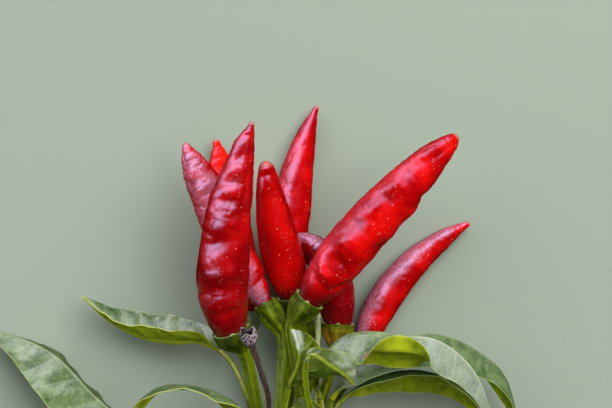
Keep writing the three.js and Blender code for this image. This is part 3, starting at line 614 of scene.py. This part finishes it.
def cut_face(name):
    """The stem's cut: a pale pith within a green ring. masks: red goes from the middle to the edge."""
    look = Look(name, (0.55, 0.62, 0.34), IOR=1.4, Roughness=0.6)
    grain = look.noise(0.5, detail=5, rough=0.7)
    look.paint(look.ramp(grain, 0.3, 0.7), (0.78, 0.8, 0.56))
    look.paint(look.ramp("Red", 0.6, 0.75), (0.3, 0.44, 0.12))
    look.paint(look.ramp("Red", 0.9, 1), (0.09, 0.17, 0.03))
    look.bump(grain, 0.12, 0.8)
    return look.material


# ---- fruits ----

FRUIT_ROWS, FRUIT_SIDES = 190, 128


def fruit_line(fruit, steps=400):
    base, middle, tip = (np.array(fruit[key], float) for key in ("base", "middle", "tip"))
    return Line(bend(np.linspace(0, 1, steps)[:, None], base, 2 * middle - (base + tip) / 2, tip))


def round_radius(fruit, share):
    """The source's radius."""
    share = np.asarray(share, float)
    belly = fruit["belly"]
    near = np.clip(1 - ((belly - share) / belly) ** 2, 0, 1) ** fruit["shoulder"]
    beyond = np.maximum(share - belly, 0) / (1 - belly)
    far = np.clip(1 - beyond ** fruit["taper"], 0, 1) ** fruit["point"]
    return fruit["radius"] * np.where(share < belly, near, far)


def skin_radius(fruit, line, share):
    """The source's radius, with a blunt end at the tip."""
    blunt = fruit.get("blunt", 0.75)
    to_tip = np.minimum((1 - share) * line.length, blunt)
    end = np.sqrt(np.clip(blunt ** 2 - (blunt - to_tip) ** 2, 0, None)) * (share > 0.6)
    return (round_radius(fruit, share) ** 4 + end ** 4) ** 0.25


def fruit_relief(fruit, line, shares, angles, seed):
    """How far the skin stands out from the round fruit, or in where it is less than nought."""
    radius = round_radius(fruit, shares)
    relief = fruit["lobes"] * radius * np.cos(3 * (angles - math.radians(fruit["turn"])))
    spread = channels(radius * np.cos(angles), radius * np.sin(angles), shares * line.length)
    wander = 0.45 * lumps(spread, 2.6, seed + 7)
    vary = 1 + 0.3 * lumps(spread, 3.4, seed + 8)
    for place, at, half_length, half_width, depth, slant in fruit["dents"]:
        turned = angles - math.radians(at)
        turned = np.arctan2(np.sin(turned), np.cos(turned))
        along = ((shares - place) * line.length + wander - slant * turned) / half_length
        dent = 0.75 * bell(along) + 0.25 * np.exp(-2.4 * np.abs(along))
        rise = bell((along - 1.9) / 1.1)
        relief = relief + depth * vary * bell(turned / math.radians(half_width)) * (0.28 * rise - dent)
    relief = relief + fruit["lump"] * lumps(spread * [1, 1, 0.8], 5.5, seed)
    relief = relief + 0.55 * fruit["lump"] * lumps(spread * [0.8, 0.8, 1.2], 2.5, seed + 1)
    relief = relief + fruit["wrinkle"] * lumps(spread * [0.7, 0.7, 1.6], 1.1, seed + 2)
    crease = np.clip(crumpled(spread * [0.8, 0.8, 1.5], 3.0, seed + 9), 0, 1) ** 2
    relief = relief - fruit.get("crease", 0.12) * crease
    return smoothstep(shares, 0.08, 0.2) * (1 - smoothstep(shares, 0.95, 1)) * relief


def facing_out(rows):
    """The way that the surface through rows faces at each point."""
    around = np.roll(rows, -1, axis=1) - np.roll(rows, 1, axis=1)
    return unit(np.cross(around, np.gradient(rows, axis=0)))


def make_fruit(name, fruit, seed, material):
    line = fruit_line(fruit)
    shares = (1 - np.cos(np.pi * np.arange(1, FRUIT_ROWS) / FRUIT_ROWS))[:, None] / 2
    angles = ring_angles(FRUIT_SIDES)
    relief = fruit_relief(fruit, line, shares, angles, seed)
    rows = tube(line, shares, angles, skin_radius(fruit, line, shares) + relief)
    # A pale tip; on the middle fruit's broad cap it is a painted highlight.
    pale_from = fruit.get("pale_from", 0.982)
    pale = smoothstep(shares, pale_from, 0.2 * pale_from + 0.8) * fruit.get("pale", 0.8)
    # Painted shade: darker towards the stalk and in the hollows of dents.
    painted_shade, painted_shade_to = fruit.get("painted_shade", (1, 0.22))
    painted_shade = painted_shade * (1 - smoothstep(shares, 0.02, painted_shade_to))
    painted_shade = np.maximum(painted_shade, 0.45 * smoothstep(-relief, 0.15, 0.75))
    # A lavender painted reflection where the skin faces the light, broken up by lumps.
    painted_reflection = 0
    if "painted_reflection" in fruit:
        towards, low, high, strength = fruit["painted_reflection"]
        facing = facing_out(rows) @ unit(towards)
        facing = facing + 0.16 * lumps(rows, 3.0, seed + 4) + 0.08 * lumps(rows, 1.0, seed + 5)
        painted_reflection = strength * smoothstep(facing, low, high)
    masks = channels(pale, painted_shade, painted_reflection)
    base, tip = line.place(0.0), line.place(1.0)
    add_piece(f"{name}_skin", rows, [material], masks, name, start=base, end=tip)


# ---- the stem and the fruits' stalks ----

STEM_ROWS, STEM_SIDES, CUT_ROWS, CUT_DEPTH = 150, 72, 22, 0.4
DOME_RISES = (0.35, 0.7, 0.92)
# Each of the scene's nodes is (share of the length, half length as a share, mm that it stands out).
STEM_NODES = [(0.31, 0.025, 0.3), (0.58, 0.03, 0.24), (0.8, 0.03, 0.3)]
FOOT_ROWS, PATH_ROWS, CUP_ROWS, STALK_SIDES = 8, 64, 40, 90
# The cup's edge as (height over the rim in teeth, share of the wall from the fruit outwards, how pale it is).
CUP_EDGE = [(-0.2, 1.0, 0.1), (0.3, 1.0, 0.35), (0.7, 0.94, 0.75), (0.95, 0.74, 1.0),
            (1.0, 0.42, 1.0), (0.85, 0.22, 0.9), (0.4, 0.14, 0.5), (-0.1, 0.12, 0.1)]
# Within the cup, its inside goes down at these shares of the rim's place on the fruit.
CUP_INSIDE = [0.6, 0.3, 0.1]


def stem_radius(share):
    """The source's radius."""
    near_node = np.cos(2 * np.pi * share / NODE_SPACING) ** 8 * smoothstep(share, 0.05, 0.2)
    return mix(STEM_RADIUS_CUT, STEM_RADIUS_TOP, share) + NODE_SWELLING * near_node


def stem_place(share):
    """The source reads the stem by its curve's own parameter, so a place on it is found the same way here."""
    start, control, end = np.array([STEM_CUT, STEM_BEND, STEM_TOP], float)
    way = unit(2 * (1 - share) * (control - start) + 2 * share * (end - control))
    return bend(share, start, control, end), way


def foot_on_stem(foot, radius, sets_off):
    angle, along = foot
    place, up_stem = stem_place(along)
    if along == 1:
        return place + up_stem * (STEM_TOP_RISE + CLEARANCE), up_stem
    outward = spokes(up_stem, np.radians([angle]))[0]
    away = unit(outward * sets_off[0] + up_stem * sets_off[1])
    widest = max(stem_radius(along - 0.02), stem_radius(along), stem_radius(along + 0.03))
    return place + outward * (widest + CLEARANCE + radius * STALK_FOOT), away


def streaks(angles, lengths, radius, seed):
    """Noise from 0 to 1 in streaks along a stalk, for lengths in mm along it and angles round it."""
    places = channels(radius * np.cos(angles), radius * np.sin(angles), 0.1 * lengths)
    coarse, fine = lumps(places, 0.62 * radius, seed), lumps(places * [1, 1, 2], 0.28 * radius, seed + 1)
    return np.clip(0.5 + 0.45 * coarse + 0.3 * fine, 0, 1)


def make_stem(material, cut_material):
    params = np.linspace(0, 1, STEM_ROWS)
    line = Line(np.array([stem_place(share)[0] for share in params]))
    angles, shares = ring_angles(STEM_SIDES), line.shares[:, None]
    ridges = 0.16 * np.cos(5 * angles + 3 * shares) + 0.06 * np.cos(11 * angles + 1)
    nodes = sum(high * bell((shares - at) / half) for at, half, high in STEM_NODES)
    radii = mix(STEM_RADIUS_CUT, STEM_RADIUS_TOP, params[:, None]) + nodes - 0.1
    rows = tube(line, shares, angles, radii + ridges * smoothstep(shares, 0, 0.04))
    rows = pushed(rows, line.place(shares), 0.12 * lumps(rows * [1, 0.6, 1], 2.4, 6))
    top, way = stem_place(1.0)
    dome = [top + way * STEM_TOP_RISE * rise + (rows[-1] - top) * math.sqrt(1 - rise ** 2)
            for rise in DOME_RISES]
    # Painted shade between the ridges and paler on them, with streaks.
    shade = 0.5 + 1.6 * ridges + 0.7 * (streaks(angles, shares * line.length, 2.8, 21) - 0.5)
    shade = np.concatenate([np.clip(shade, 0, 1), np.full((len(dome), STEM_SIDES), 0.4)])
    centre = stem_place(0.0)[0]
    add_piece("stem_skin", np.concatenate([rows, dome]), [material], channels(0, shade, 0), "stem",
              start=centre, end=top + way * STEM_TOP_RISE)
    # The cut: a disc with a slightly sunken pith, closed behind inside the stem.
    rings = np.linspace(0.04, 0.985, CUT_ROWS)[:, None]
    disc = centre + (rows[0] - centre) * rings[..., None]
    dish = 0.12 * lumps(disc, 0.8, 4) - 0.1
    disc[..., 1] = centre[1] + 0.02 + np.maximum(0, dish * (1 - rings ** 6))
    back = disc[::-1].copy()
    back[..., 1] = centre[1] + CUT_DEPTH
    both = np.concatenate([disc, back])[:, ::-1]
    masks = channels(np.concatenate([rings, rings[::-1]]), 0, 0)
    add_piece("stem_cut", both, [cut_material], masks)


def make_stalk(name, fruit, seed, material):
    stalk = fruit["stalk"]
    thick = stalk["thick"] * stalk.get("swollen", 1.08)
    line = fruit_line(fruit)
    base, along = line.place(0.0), line.way(0.0)
    foot = (stalk["angle"], stalk["along"])
    start, away = foot_on_stem(foot, stalk["thick"] * STALK_FOOT, FRUIT_STALK_SETS_OFF)
    neck = base - along * (CUP_SEAT + stalk["neck"])
    reach = np.linalg.norm(neck - start)
    path = cubic_line(start, start + away * reach * 0.25, neck - along * stalk["lean"], neck)
    # The stalk's foot goes on into the stem, where it grows out of it.
    root = stem_place(stalk["along"])[0]
    outward = start - root
    inward = cubic_line(root + outward * 0.35 - away * 1.5, root + outward * 0.6 - away,
                        start - away * 1.2, start)
    angles = ring_angles(STALK_SIDES)
    ribs = np.cos(CALYX_TEETH * angles)
    small_ribs = np.cos(3 * CALYX_TEETH * angles + 0.6)

    def ribbed(radius, depth=1):
        return radius * (1 + depth * 0.09 * ribs + depth * 0.03 * small_ribs)

    rim_share = stalk["cup"]
    fruit_radius = round_radius(fruit, rim_share)
    rim_radius = max(stalk["rim"], fruit_radius + CUP_SEAT + CUP_WALL)
    funnel = Line(np.array([neck, neck + along * (stalk["neck"] + 2 * CUP_SEAT)]))
    low = np.linspace(0, 1, FOOT_ROWS, endpoint=False)[:, None]
    high = np.linspace(0, 1, PATH_ROWS)[:, None]
    cup = np.linspace(0, 1, CUP_ROWS + 1)[1:, None]
    swell = 1 + 0.12 * bell(high / 0.12)
    widened = np.interp(cup, [0, 0.3, 0.65, 1], [0, 0.28, 0.55, 0.95])
    widened = mix(widened, np.sin(cup * np.pi / 2) ** 1.2 * 0.96, 0.5)
    hollow = 1 + 0.05 * np.sin(np.pi * cup) * (ribs - 0.4)
    parts = [
        (inward, low, ribbed(thick * STALK_FOOT * mix(1.3, 1.12, low), 0.6)),
        (path, high, ribbed(thick * mix(STALK_FOOT, 1, high) * swell)),
        (funnel, cup, ribbed(mix(thick, rim_radius, widened), 1 - 0.5 * cup) * hollow),
    ]
    body = np.concatenate([tube(part, shares, angles, radii) for part, shares, radii in parts])
    centres = np.concatenate([part.place(shares) for part, shares, _ in parts])
    rough = 0.06 * lumps(body * [1, 0.5, 1], 1.3, seed) + 0.03 * lumps(body, 0.6, seed + 1)
    body = pushed(body, centres, rough)
    # The rim follows the fruit: the outside goes over its edge and down inside, close to the skin.
    tooth = np.clip(ribs, 0, 1) ** 3
    tooth_height = stalk.get("teeth", 0.6) * (0.3 + 0.95 * tooth) + 0.12 * np.cos(2 * angles + seed)
    height, through, pale = np.array(CUP_EDGE).T[..., None]
    shares = np.clip((rim_share * line.length + height * tooth_height) / line.length, 0, 1)
    wall = (rim_radius - fruit_radius) * through * mix(1, 0.55, tooth * np.maximum(height, 0))
    edge = tube(line, shares, angles, round_radius(fruit, shares) + wall)
    shares = rim_share * np.array(CUP_INSIDE)[:, None]
    inside = tube(line, shares, angles, np.maximum(round_radius(fruit, shares), 0.5))
    rise = np.linspace(0, 1, len(body))[:, None]
    on_cup = smoothstep(rise, 0.62, 0.85)
    course = Line(centres[:, 0])
    streaked = 0.5 * (streaks(angles, (course.shares * course.length)[:, None], 1.3, seed + 2) - 0.5)
    # Painted shade in the hollows between ribs, paler on the ribs, with streaks; the cup is darker, and
    # darker still with painted shade where the stalk's shade is below nought.
    shade = 0.44 + 0.1 * ribs + 0.04 * small_ribs + streaked * (1 - 0.4 * smoothstep(rise, 0.6, 0.9))
    shade = shade + (stalk.get("shade", 0) - 0.12) * on_cup
    blush = fruit.get("blush", 0) * on_cup * (0.5 + 0.5 * lumps(body, 3, seed + 5))
    pale = np.concatenate([pale, 0 * shares]) * (0.35 + 0.65 * tooth)
    masks = np.clip(np.concatenate([channels(0, shade, blush), channels(pale, 0.2, 0)]), 0, 1)
    rows = np.concatenate([body, edge, inside])
    add_piece(f"{name}_skin", rows, [material], masks, name, end=base - along * 0.1)


# ---- leaves ----

STALK_ROWS, BLADE_ROWS, HALF_COLUMNS = 40, 130, 27
VEINS = 7
BLADE_FROM = 0.015
# How strongly veins show, how far the blade quilts between them and how patchy its whitish painted sheen is.
GROWN_LEAF, YOUNG_LEAF = (0.4, 0.018, 0.2), (0.1, 0.008, 0.6)


def line_from_stem(foot, through, radius, sets_off):
    """A line from inside the stem through the given points, and the place where it comes out of the stem."""
    start, away = foot_on_stem(foot, radius, sets_off)
    first_step = np.linalg.norm(np.array(through[0]) - start) * 0.3
    root = stem_place(foot[1])[0]
    inside = root + (start - root) * 0.5 - away * 0.8
    return smooth_line([inside, start, start + away * first_step, *through]), start


def blade_half_width(leaf, share, side):
    """Half of the blade's width on one side. A pointed side narrows in a straight line over its last part."""
    half, broadest, pointed = leaf.get(f"{side}_outline", (leaf["half"], leaf.get("broadest", 0.44), 0))

    def outline(at):
        return (at ** broadest * (1 - at) ** (1 - broadest)) ** BLADE_FULLNESS

    width = half * outline(np.clip(share, 0, 1)) / outline(broadest)
    if pointed:
        width = width * np.clip((1 - share) / pointed, 0, 1) ** 0.6
    return np.maximum(width, 0.12)


def rest_on_surface(height):
    level_off = 2 * SURFACE_ROOM
    below = (np.minimum(height, level_off) - level_off) / SURFACE_ROOM
    return np.where(height > level_off, height, SURFACE_ROOM + SURFACE_ROOM * np.exp(below))


def smooth_rows(values, share):
    """The value at a share of the way through evenly spaced ones, without corners."""
    steps, reach = 240, 40
    fine = np.linspace(0, 1, steps + 1)
    straight = np.interp(fine, np.linspace(0, 1, len(values)), values)
    kernel = bell(np.arange(-reach, reach + 1) / steps / (0.35 / (len(values) - 1)))
    padded = np.pad(straight, reach, mode="edge")
    return np.interp(share, fine, np.convolve(padded, kernel / kernel.sum(), mode="valid"))


def make_leaf(name, leaf, seed, materials, young):
    vein_shows, quilting, patchy = YOUNG_LEAF if young else GROWN_LEAF
    line, start = line_from_stem(leaf["foot"], leaf["through"], LEAF_STALK_RADIUS, LEAF_STALK_SETS_OFF)
    foot_share = line.shares[np.argmin(np.linalg.norm(line.points - start, axis=1))]
    blade_start = foot_share + leaf["stalk"] * (1 - foot_share)
    stalk_shares = np.linspace(0, blade_start, STALK_ROWS, endpoint=False)
    shares = np.concatenate([stalk_shares, np.linspace(blade_start, 1, BLADE_ROWS)[:-1]])[:, None]
    blade = np.clip((shares - blade_start) / (1 - blade_start), 0, 1)
    opened = smoothstep(blade, 0, BLADE_OPENS)
    fades = 4 * blade * (1 - blade)
    blade_length = line.length * (1 - blade_start)
    level = np.sin(np.linspace(0, np.pi / 2, HALF_COLUMNS))
    out, side = across(line.way(shares), leaf["above"])
    centres = line.place(shares)

    def half_blade(sign, half_name):
        """The sheet from the midrib to one margin, its normals, and what its masks and thickness need."""
        half = blade_half_width(leaf, blade, half_name)
        inner, outer = (smooth_rows(bends, blade) for bends in leaf[half_name])
        turn = smoothstep(level, *leaf.get("turn", (0.3, 0.8)))
        angle = np.radians(inner + (outer - inner) * turn)
        steps = np.diff(level, prepend=0) * half
        run = sign * np.cumsum(np.cos(angle) * steps, axis=1)
        climb = np.cumsum(np.sin(angle) * steps, axis=1)
        waves = leaf["waves"] * blade
        wave = leaf["wave"] * fades * np.sin(2 * np.pi * (waves + sign * 0.2))
        ruffle = 0.35 * leaf["wave"] * fades * np.sin(2 * np.pi * (2.6 * waves + 0.3 + sign * 0.13))
        lift = wave * level ** 2 + ruffle * level ** 4
        widest = half / leaf["half"]
        forward = 0.55 * level ** 1.15 * widest * leaf["half"] / blade_length
        phase = (blade - forward) * VEINS + sign * 0.25
        near = np.abs(phase - np.round(phase)) * blade_length / VEINS
        fade_vein = (1 - smoothstep(level, 0.78, 0.96)) * smoothstep(blade, 0.02, 0.1)
        vein = bell(near / 0.42) * fade_vein * smoothstep(level, 0, 0.03)
        midrib = bell(level * half / 0.45) * smoothstep(blade, 0, 0.05)
        quilt = np.cos(2 * np.pi * phase) * widest * np.sin(np.pi * level) * fade_vein
        lift = lift - quilting * leaf["half"] * quilt - 0.08 * vein - 0.18 * midrib
        place = centres + side * run[..., None] + out * climb[..., None]
        normal = side * (-sign * np.sin(angle))[..., None] + out * np.cos(angle)[..., None]
        lift = lift + 0.16 * lumps(place, 4.5, seed) * level * fades
        lift = lift + 0.05 * lumps(place, 1.6, seed + 1) * fades
        drawn = np.maximum(vein_shows * vein, midrib)
        place = place + normal * lift[..., None]
        return place, normal, drawn, level + 0 * vein, midrib, sign * level * half

    halves = zip(half_blade(-1, "left"), half_blade(1, "right"))
    sheets = [np.concatenate([left[:, ::-1], right[:, 1:]], axis=1) for left, right in halves]
    place, normal, vein, level, midrib, off_middle = sheets
    normal = unit(normal)
    thin = mix(0.2, 0.1, level)
    thick_under = thin + 0.42 * midrib * (1 - blade) ** 0.7 + 0.1 * vein
    place[..., 2] = rest_on_surface(place[..., 2])
    # Above and below the stalk, which opens into the blade.
    columns = place.shape[1]
    turn = np.linspace(-1, 1, columns) * np.pi / 2
    stalk_radius = LEAF_STALK_RADIUS * (1 + 0.35 * bell((shares - foot_share) / 0.03))
    on_side = side * (np.sin(turn) * stalk_radius)[..., None]
    on_out = out * (np.cos(turn) * stalk_radius)[..., None]
    stalk_above = centres + on_side + on_out * (1 - 0.55 * bell(turn / 0.5)[:, None])
    stalk_below = centres + on_side - on_out
    upper = mix(stalk_above, place + normal * thin[..., None], opened[..., None])
    lower = mix(stalk_below, place - normal * thick_under[..., None], opened[..., None])
    rows = np.concatenate([upper, lower[:, ::-1]], axis=1)
    # How near the margin, which is lined with a pale painted highlight.
    edge = smoothstep(level, 1 - 0.035, 1.0) * opened
    # How strong the whitish painted sheen is, patchy, on the upper side and on the under side where the leaf
    # asks for it.
    painted_sheen = leaf["painted_sheen"](blade, off_middle) if "painted_sheen" in leaf else 0
    painted_sheen = PAINTED_SHEEN_MAX * np.clip(painted_sheen * (0.9 + patchy * lumps(place * [1, 1.6, 1.6], 1.8, seed + 6)), 0, 1)
    blemish = np.zeros_like(level)
    for at, across_at, size, strength in leaf.get("blemishes", ()):
        where = np.hypot((blade - at) * blade_length, off_middle - across_at)
        where = where + 0.3 * size * lumps(place, 1.0, seed + 3)
        blemish = np.maximum(blemish, strength * (1 - smoothstep(where, size * 0.6, size)))
    of_blade = blade > BLADE_FROM
    edge = np.where(of_blade, edge, 0.35 + 0.5 * np.sin(turn) ** 2)
    above = channels(vein * opened, edge, np.maximum(blemish, painted_sheen))
    painted_sheen = painted_sheen * leaf.get("painted_sheen_below", 0)
    below = channels(vein * opened, edge, np.maximum(blemish, painted_sheen))
    masks = np.concatenate([above, below[:, ::-1]], axis=1)
    material_of = np.where(of_blade, np.repeat([0.0, 1.0], columns), 2)
    add_piece(f"{name}_blade", rows, materials, masks, name, material_of, end=line.place(1.0))


# ---- the thin stalks ----

THIN_ROWS, THIN_SIDES = 110, 96
DRIED_OUTSIDE, DRIED_INSIDE, YOUNG_HEAD = 26, 14, 22


def make_thin_stalk(name, stalk, seed, material, withered):
    line, _ = line_from_stem(stalk["foot"], stalk["through"], stalk["radius"], FRUIT_STALK_SETS_OFF)
    angles, shares = ring_angles(THIN_SIDES), np.linspace(0, 1, THIN_ROWS)[:, None]
    ridges = (0.1 if withered else 0.04) * np.cos(4 * angles + 6 * shares)
    radii = stalk["radius"] * (1 + ridges + 0.25 * smoothstep(shares, 0.85, 1))
    rows = tube(line, shares, angles, radii)
    lengths = shares * line.length
    end, way = line.place(1.0), line.way(1.0)
    around = spokes(way, angles)

    def head_rows(rises, widths, lobes):
        reach = stalk["head_length"] * (rises * (1 + 0.16 * lobes * rises))
        radii = np.maximum(stalk["head_radius"] * widths, 0.05)
        return end + way * reach[..., None] + around * radii[..., None]

    if withered:
        rows = pushed(rows, line.place(shares), 0.08 * crumpled(rows * [1, 0.35, 1], 1.3, seed + 4))
        charred = streaks(angles, lengths, stalk["radius"], seed + 5) - 0.35
        charred = np.clip(charred + 0.35 * (1 - smoothstep(shares, 0.45, 0.95)), 0, 0.8)
        # A dried cup: outside up to its torn edge, over it, and down its hollow inside.
        down = np.linspace(0.94, 0.3, DRIED_INSIDE)
        rises = np.concatenate([np.linspace(0.04, 1, DRIED_OUTSIDE), down])[:, None]
        inner = np.arange(len(rises))[:, None] >= DRIED_OUTSIDE
        lobes = 0.5 + 0.5 * np.cos(5 * angles + 0.8) + 0.3 * np.cos(3 * angles + 2)
        widths = np.where(inner, 0.86 * (0.3 + 0.7 * rises), 0.34 + 0.66 * np.sin(rises * np.pi / 2) ** 1.3)
        widths = widths * (1 - 0.28 * (1 - 0.6 * lobes) * smoothstep(rises, 0.6, 1.0))
        head = head_rows(rises, widths, lobes)
        grown = smoothstep(rises, 0.05, 0.5)
        folds = crumpled(head * [1, 0.8, 1], 2.2, seed)
        fine = crumpled(head, 1.0, seed + 1)
        head = head + around * (grown * (0.3 * folds + 0.16 * fine))[..., None]
        head = head + way * (grown * 0.3 * lumps(head, 1.2, seed + 2))[..., None]
        papery = grown * (1 - 0.8 * inner)
        pale = np.clip(0.3 + 0.4 * folds + 0.3 * fine, 0, 1) * papery
        # Darker over the whole cup, with painted shade inside it and in the hollows of its folds.
        dark_and_painted_shade = 0.5 * grown + 0.5 * inner + 0.5 * smoothstep(-folds - 0.5 * fine, 0.1, 0.8)
        head_masks = channels(0.6 * pale, np.clip(dark_and_painted_shade, 0, 1), papery)
    else:
        charred = 0.8 * streaks(angles, lengths, 0.6, seed)
        rises = np.linspace(0.05, 0.98, YOUNG_HEAD)[:, None]
        head = head_rows(rises, np.sin(np.pi * (0.12 + 0.83 * rises)) ** 0.8, 0)
        head_masks = np.zeros(head.shape) + [0.25, 0.5, 0]
    masks = np.concatenate([channels(0, charred, 0), head_masks])
    add_piece(f"{name}_skin", np.concatenate([rows, head]), [material], masks, name)


# ---- the shoot ----

SKINS = {
    "deep": fruit_skin("deep_skin", (0.26, 0.001, 0.002), (0.5, 0.002, 0.002)),
    "front": fruit_skin("front_skin", (0.4, 0.001, 0.002), (0.68, 0.003, 0.002), index=1.37),
    "red": fruit_skin("ripe_skin", (0.42, 0.001, 0.002), (0.7, 0.002, 0.002)),
    "bright": fruit_skin("bright_skin", (0.42, 0.001, 0.001), (0.6, 0.002, 0.001)),
    "orange": fruit_skin("orange_skin", (0.66, 0.004, 0.002), (0.88, 0.012, 0.002), index=1.32),
    # A darker copy of the skin: painted shade for the fruit that lies in shadow under the front right one.
    "painted_shade": fruit_skin("painted_shade_skin", (0.17, 0.001, 0.003), (0.34, 0.002, 0.003)),
}
stalk_green = green_stalk("stalk_green", (0.15, 0.21, 0.003), (0.035, 0.058, 0.002), (0.42, 0.48, 0.03))
petiole_green = green_stalk("petiole_green", (0.2, 0.25, 0.012), (0.07, 0.1, 0.004), (0.42, 0.46, 0.1))
pale_stalk = green_stalk("pale_stalk", (0.4, 0.44, 0.22), (0.24, 0.3, 0.12), (0.52, 0.56, 0.3))
bluish_stalk = green_stalk("bluish_stalk", (0.3, 0.4, 0.26), (0.16, 0.25, 0.13), (0.45, 0.55, 0.35))
stem_green = green_stalk("stem_green", (0.15, 0.2, 0.012), (0.05, 0.08, 0.004), (0.32, 0.36, 0.06))
leaf_top = leaf_face("leaf_top", (0.055, 0.11, 0.032), (0.165, 0.24, 0.1), (0.42, 0.49, 0.32),
                     (0.36, 0.45, 0.16), sheen=0.2)
young_top = leaf_face("young_top", (0.02, 0.045, 0.003), (0.1, 0.16, 0.014), (0.34, 0.4, 0.03),
                      (0.45, 0.52, 0.1), sheen=0.2)
# The paler yellow-green under side is made brighter still as painted light, standing in for light that shines
# through the leaf.
leaf_under = leaf_face("leaf_under", (0.22, 0.28, 0.004), (0.46, 0.53, 0.012), (0.6, 0.66, 0.06),
                       (0.6, 0.66, 0.16))
# A darker copy of the under side: painted shade for the small centre leaves, whose under sides lie in shadow.
young_under = leaf_face("leaf_under_painted_shade", (0.03, 0.055, 0.002), (0.13, 0.19, 0.005), (0.28, 0.36, 0.012),
                        (0.5, 0.58, 0.08))
grown_leaf, young_leaf = [leaf_top, leaf_under, petiole_green], [young_top, young_under, stalk_green]
withered_skin = dried_skin("withered_skin")

make_stem(stem_green, cut_face("cut_pith"))
for number, (name, fruit) in enumerate(FRUITS.items()):
    make_fruit(f"fruit_{name}", fruit, 11 * number + 3, SKINS[fruit.get("skin", "red")])
    green = bluish_stalk if name == "small_back_left" else stalk_green
    make_stalk(f"stalk_{name}", fruit, 13 * number + 1, green)
for number, (name, leaf) in enumerate(LEAVES.items()):
    young = name.startswith("centre")
    make_leaf(f"leaf_{name}", leaf, 17 * number + 5, young_leaf if young else grown_leaf, young)
for number, (name, stalk) in enumerate(THIN_STALKS.items()):
    withered = name == "dried_stalk"
    material, slot = (withered_skin, "dried_stalk") if withered else (pale_stalk, "young_stalk")
    make_thin_stalk(name, stalk, 5 * number + 2, material, withered)

# ---- floor, light and camera ----

FLOOR_HALF = 2
LIT = np.array([0.0, 0.02, 0.02])

scene = bpy.context.scene
floor_mesh = bpy.data.meshes.new("floor")
corners = [(FLOOR_HALF * x, FLOOR_HALF * y, 0) for x, y in ((-1, -1), (1, -1), (1, 1), (-1, 1))]
floor_mesh.from_pydata(corners, [], [(0, 1, 2, 3)])
floor = bpy.data.objects.new("floor", floor_mesh)
scene.collection.objects.link(floor)
floor_look = Look("floor_matte", (0.29, 0.35, 0.29), Roughness=0.9, Specular_IOR_Level=0.2)
floor_look.paint(floor_look.noise(400, detail=2), (0.34, 0.4, 0.32))
floor_mesh.materials.append(floor_look.material)
floor.visible_glossy = False


def add_light(name, place, width, height, watts, colour, glossy=False):
    """A soft box in metres that points at the shoot and lights either its gloss or all the rest."""
    data = bpy.data.lights.new(name, "AREA")
    data.shape = "RECTANGLE"
    data.size, data.size_y = width, height
    data.energy = watts
    data.color = colour
    light = bpy.data.objects.new(name, data)
    scene.collection.objects.link(light)
    away = unit(np.array(place) - LIT)
    right = unit(np.cross(UP, away))
    matrix = np.eye(4)
    matrix[:3] = np.stack([right, np.cross(away, right), away, place], axis=1)
    light.matrix_world = Matrix(matrix.tolist())
    light.visible_diffuse = not glossy
    light.visible_glossy = glossy


add_light("sky_light", (-0.5, 0.74, 0.6), width=2.0, height=0.8, watts=42, colour=(0.9, 0.88, 1.0),
          glossy=True)
add_light("fill_light", (0.42, 0.5, 0.95), width=1.0, height=1.0, watts=18, colour=(1.0, 0.98, 0.95))
add_light("side_fill_light", (-0.6, 0.5, 0.7), width=1.0, height=1.0, watts=5, colour=(0.95, 0.97, 1.0))
world = bpy.data.worlds.new("soft_studio")
scene.world = world
world.use_nodes = True
background = world.node_tree.nodes["Background"]
background.inputs["Color"].default_value = (0.8, 0.84, 0.82, 1)
background.inputs["Strength"].default_value = 0.14
world.cycles_visibility.glossy = False

camera_data = bpy.data.cameras.new("camera")
camera_data.sensor_width = 36
camera_data.lens = 141.2
camera_data.clip_start = 0.01
camera = bpy.data.objects.new("camera", camera_data)
camera.location = (0.01425, 0.0367, 0.63)
scene.collection.objects.link(camera)
scene.camera = camera
scene.view_settings.view_transform = "Standard"
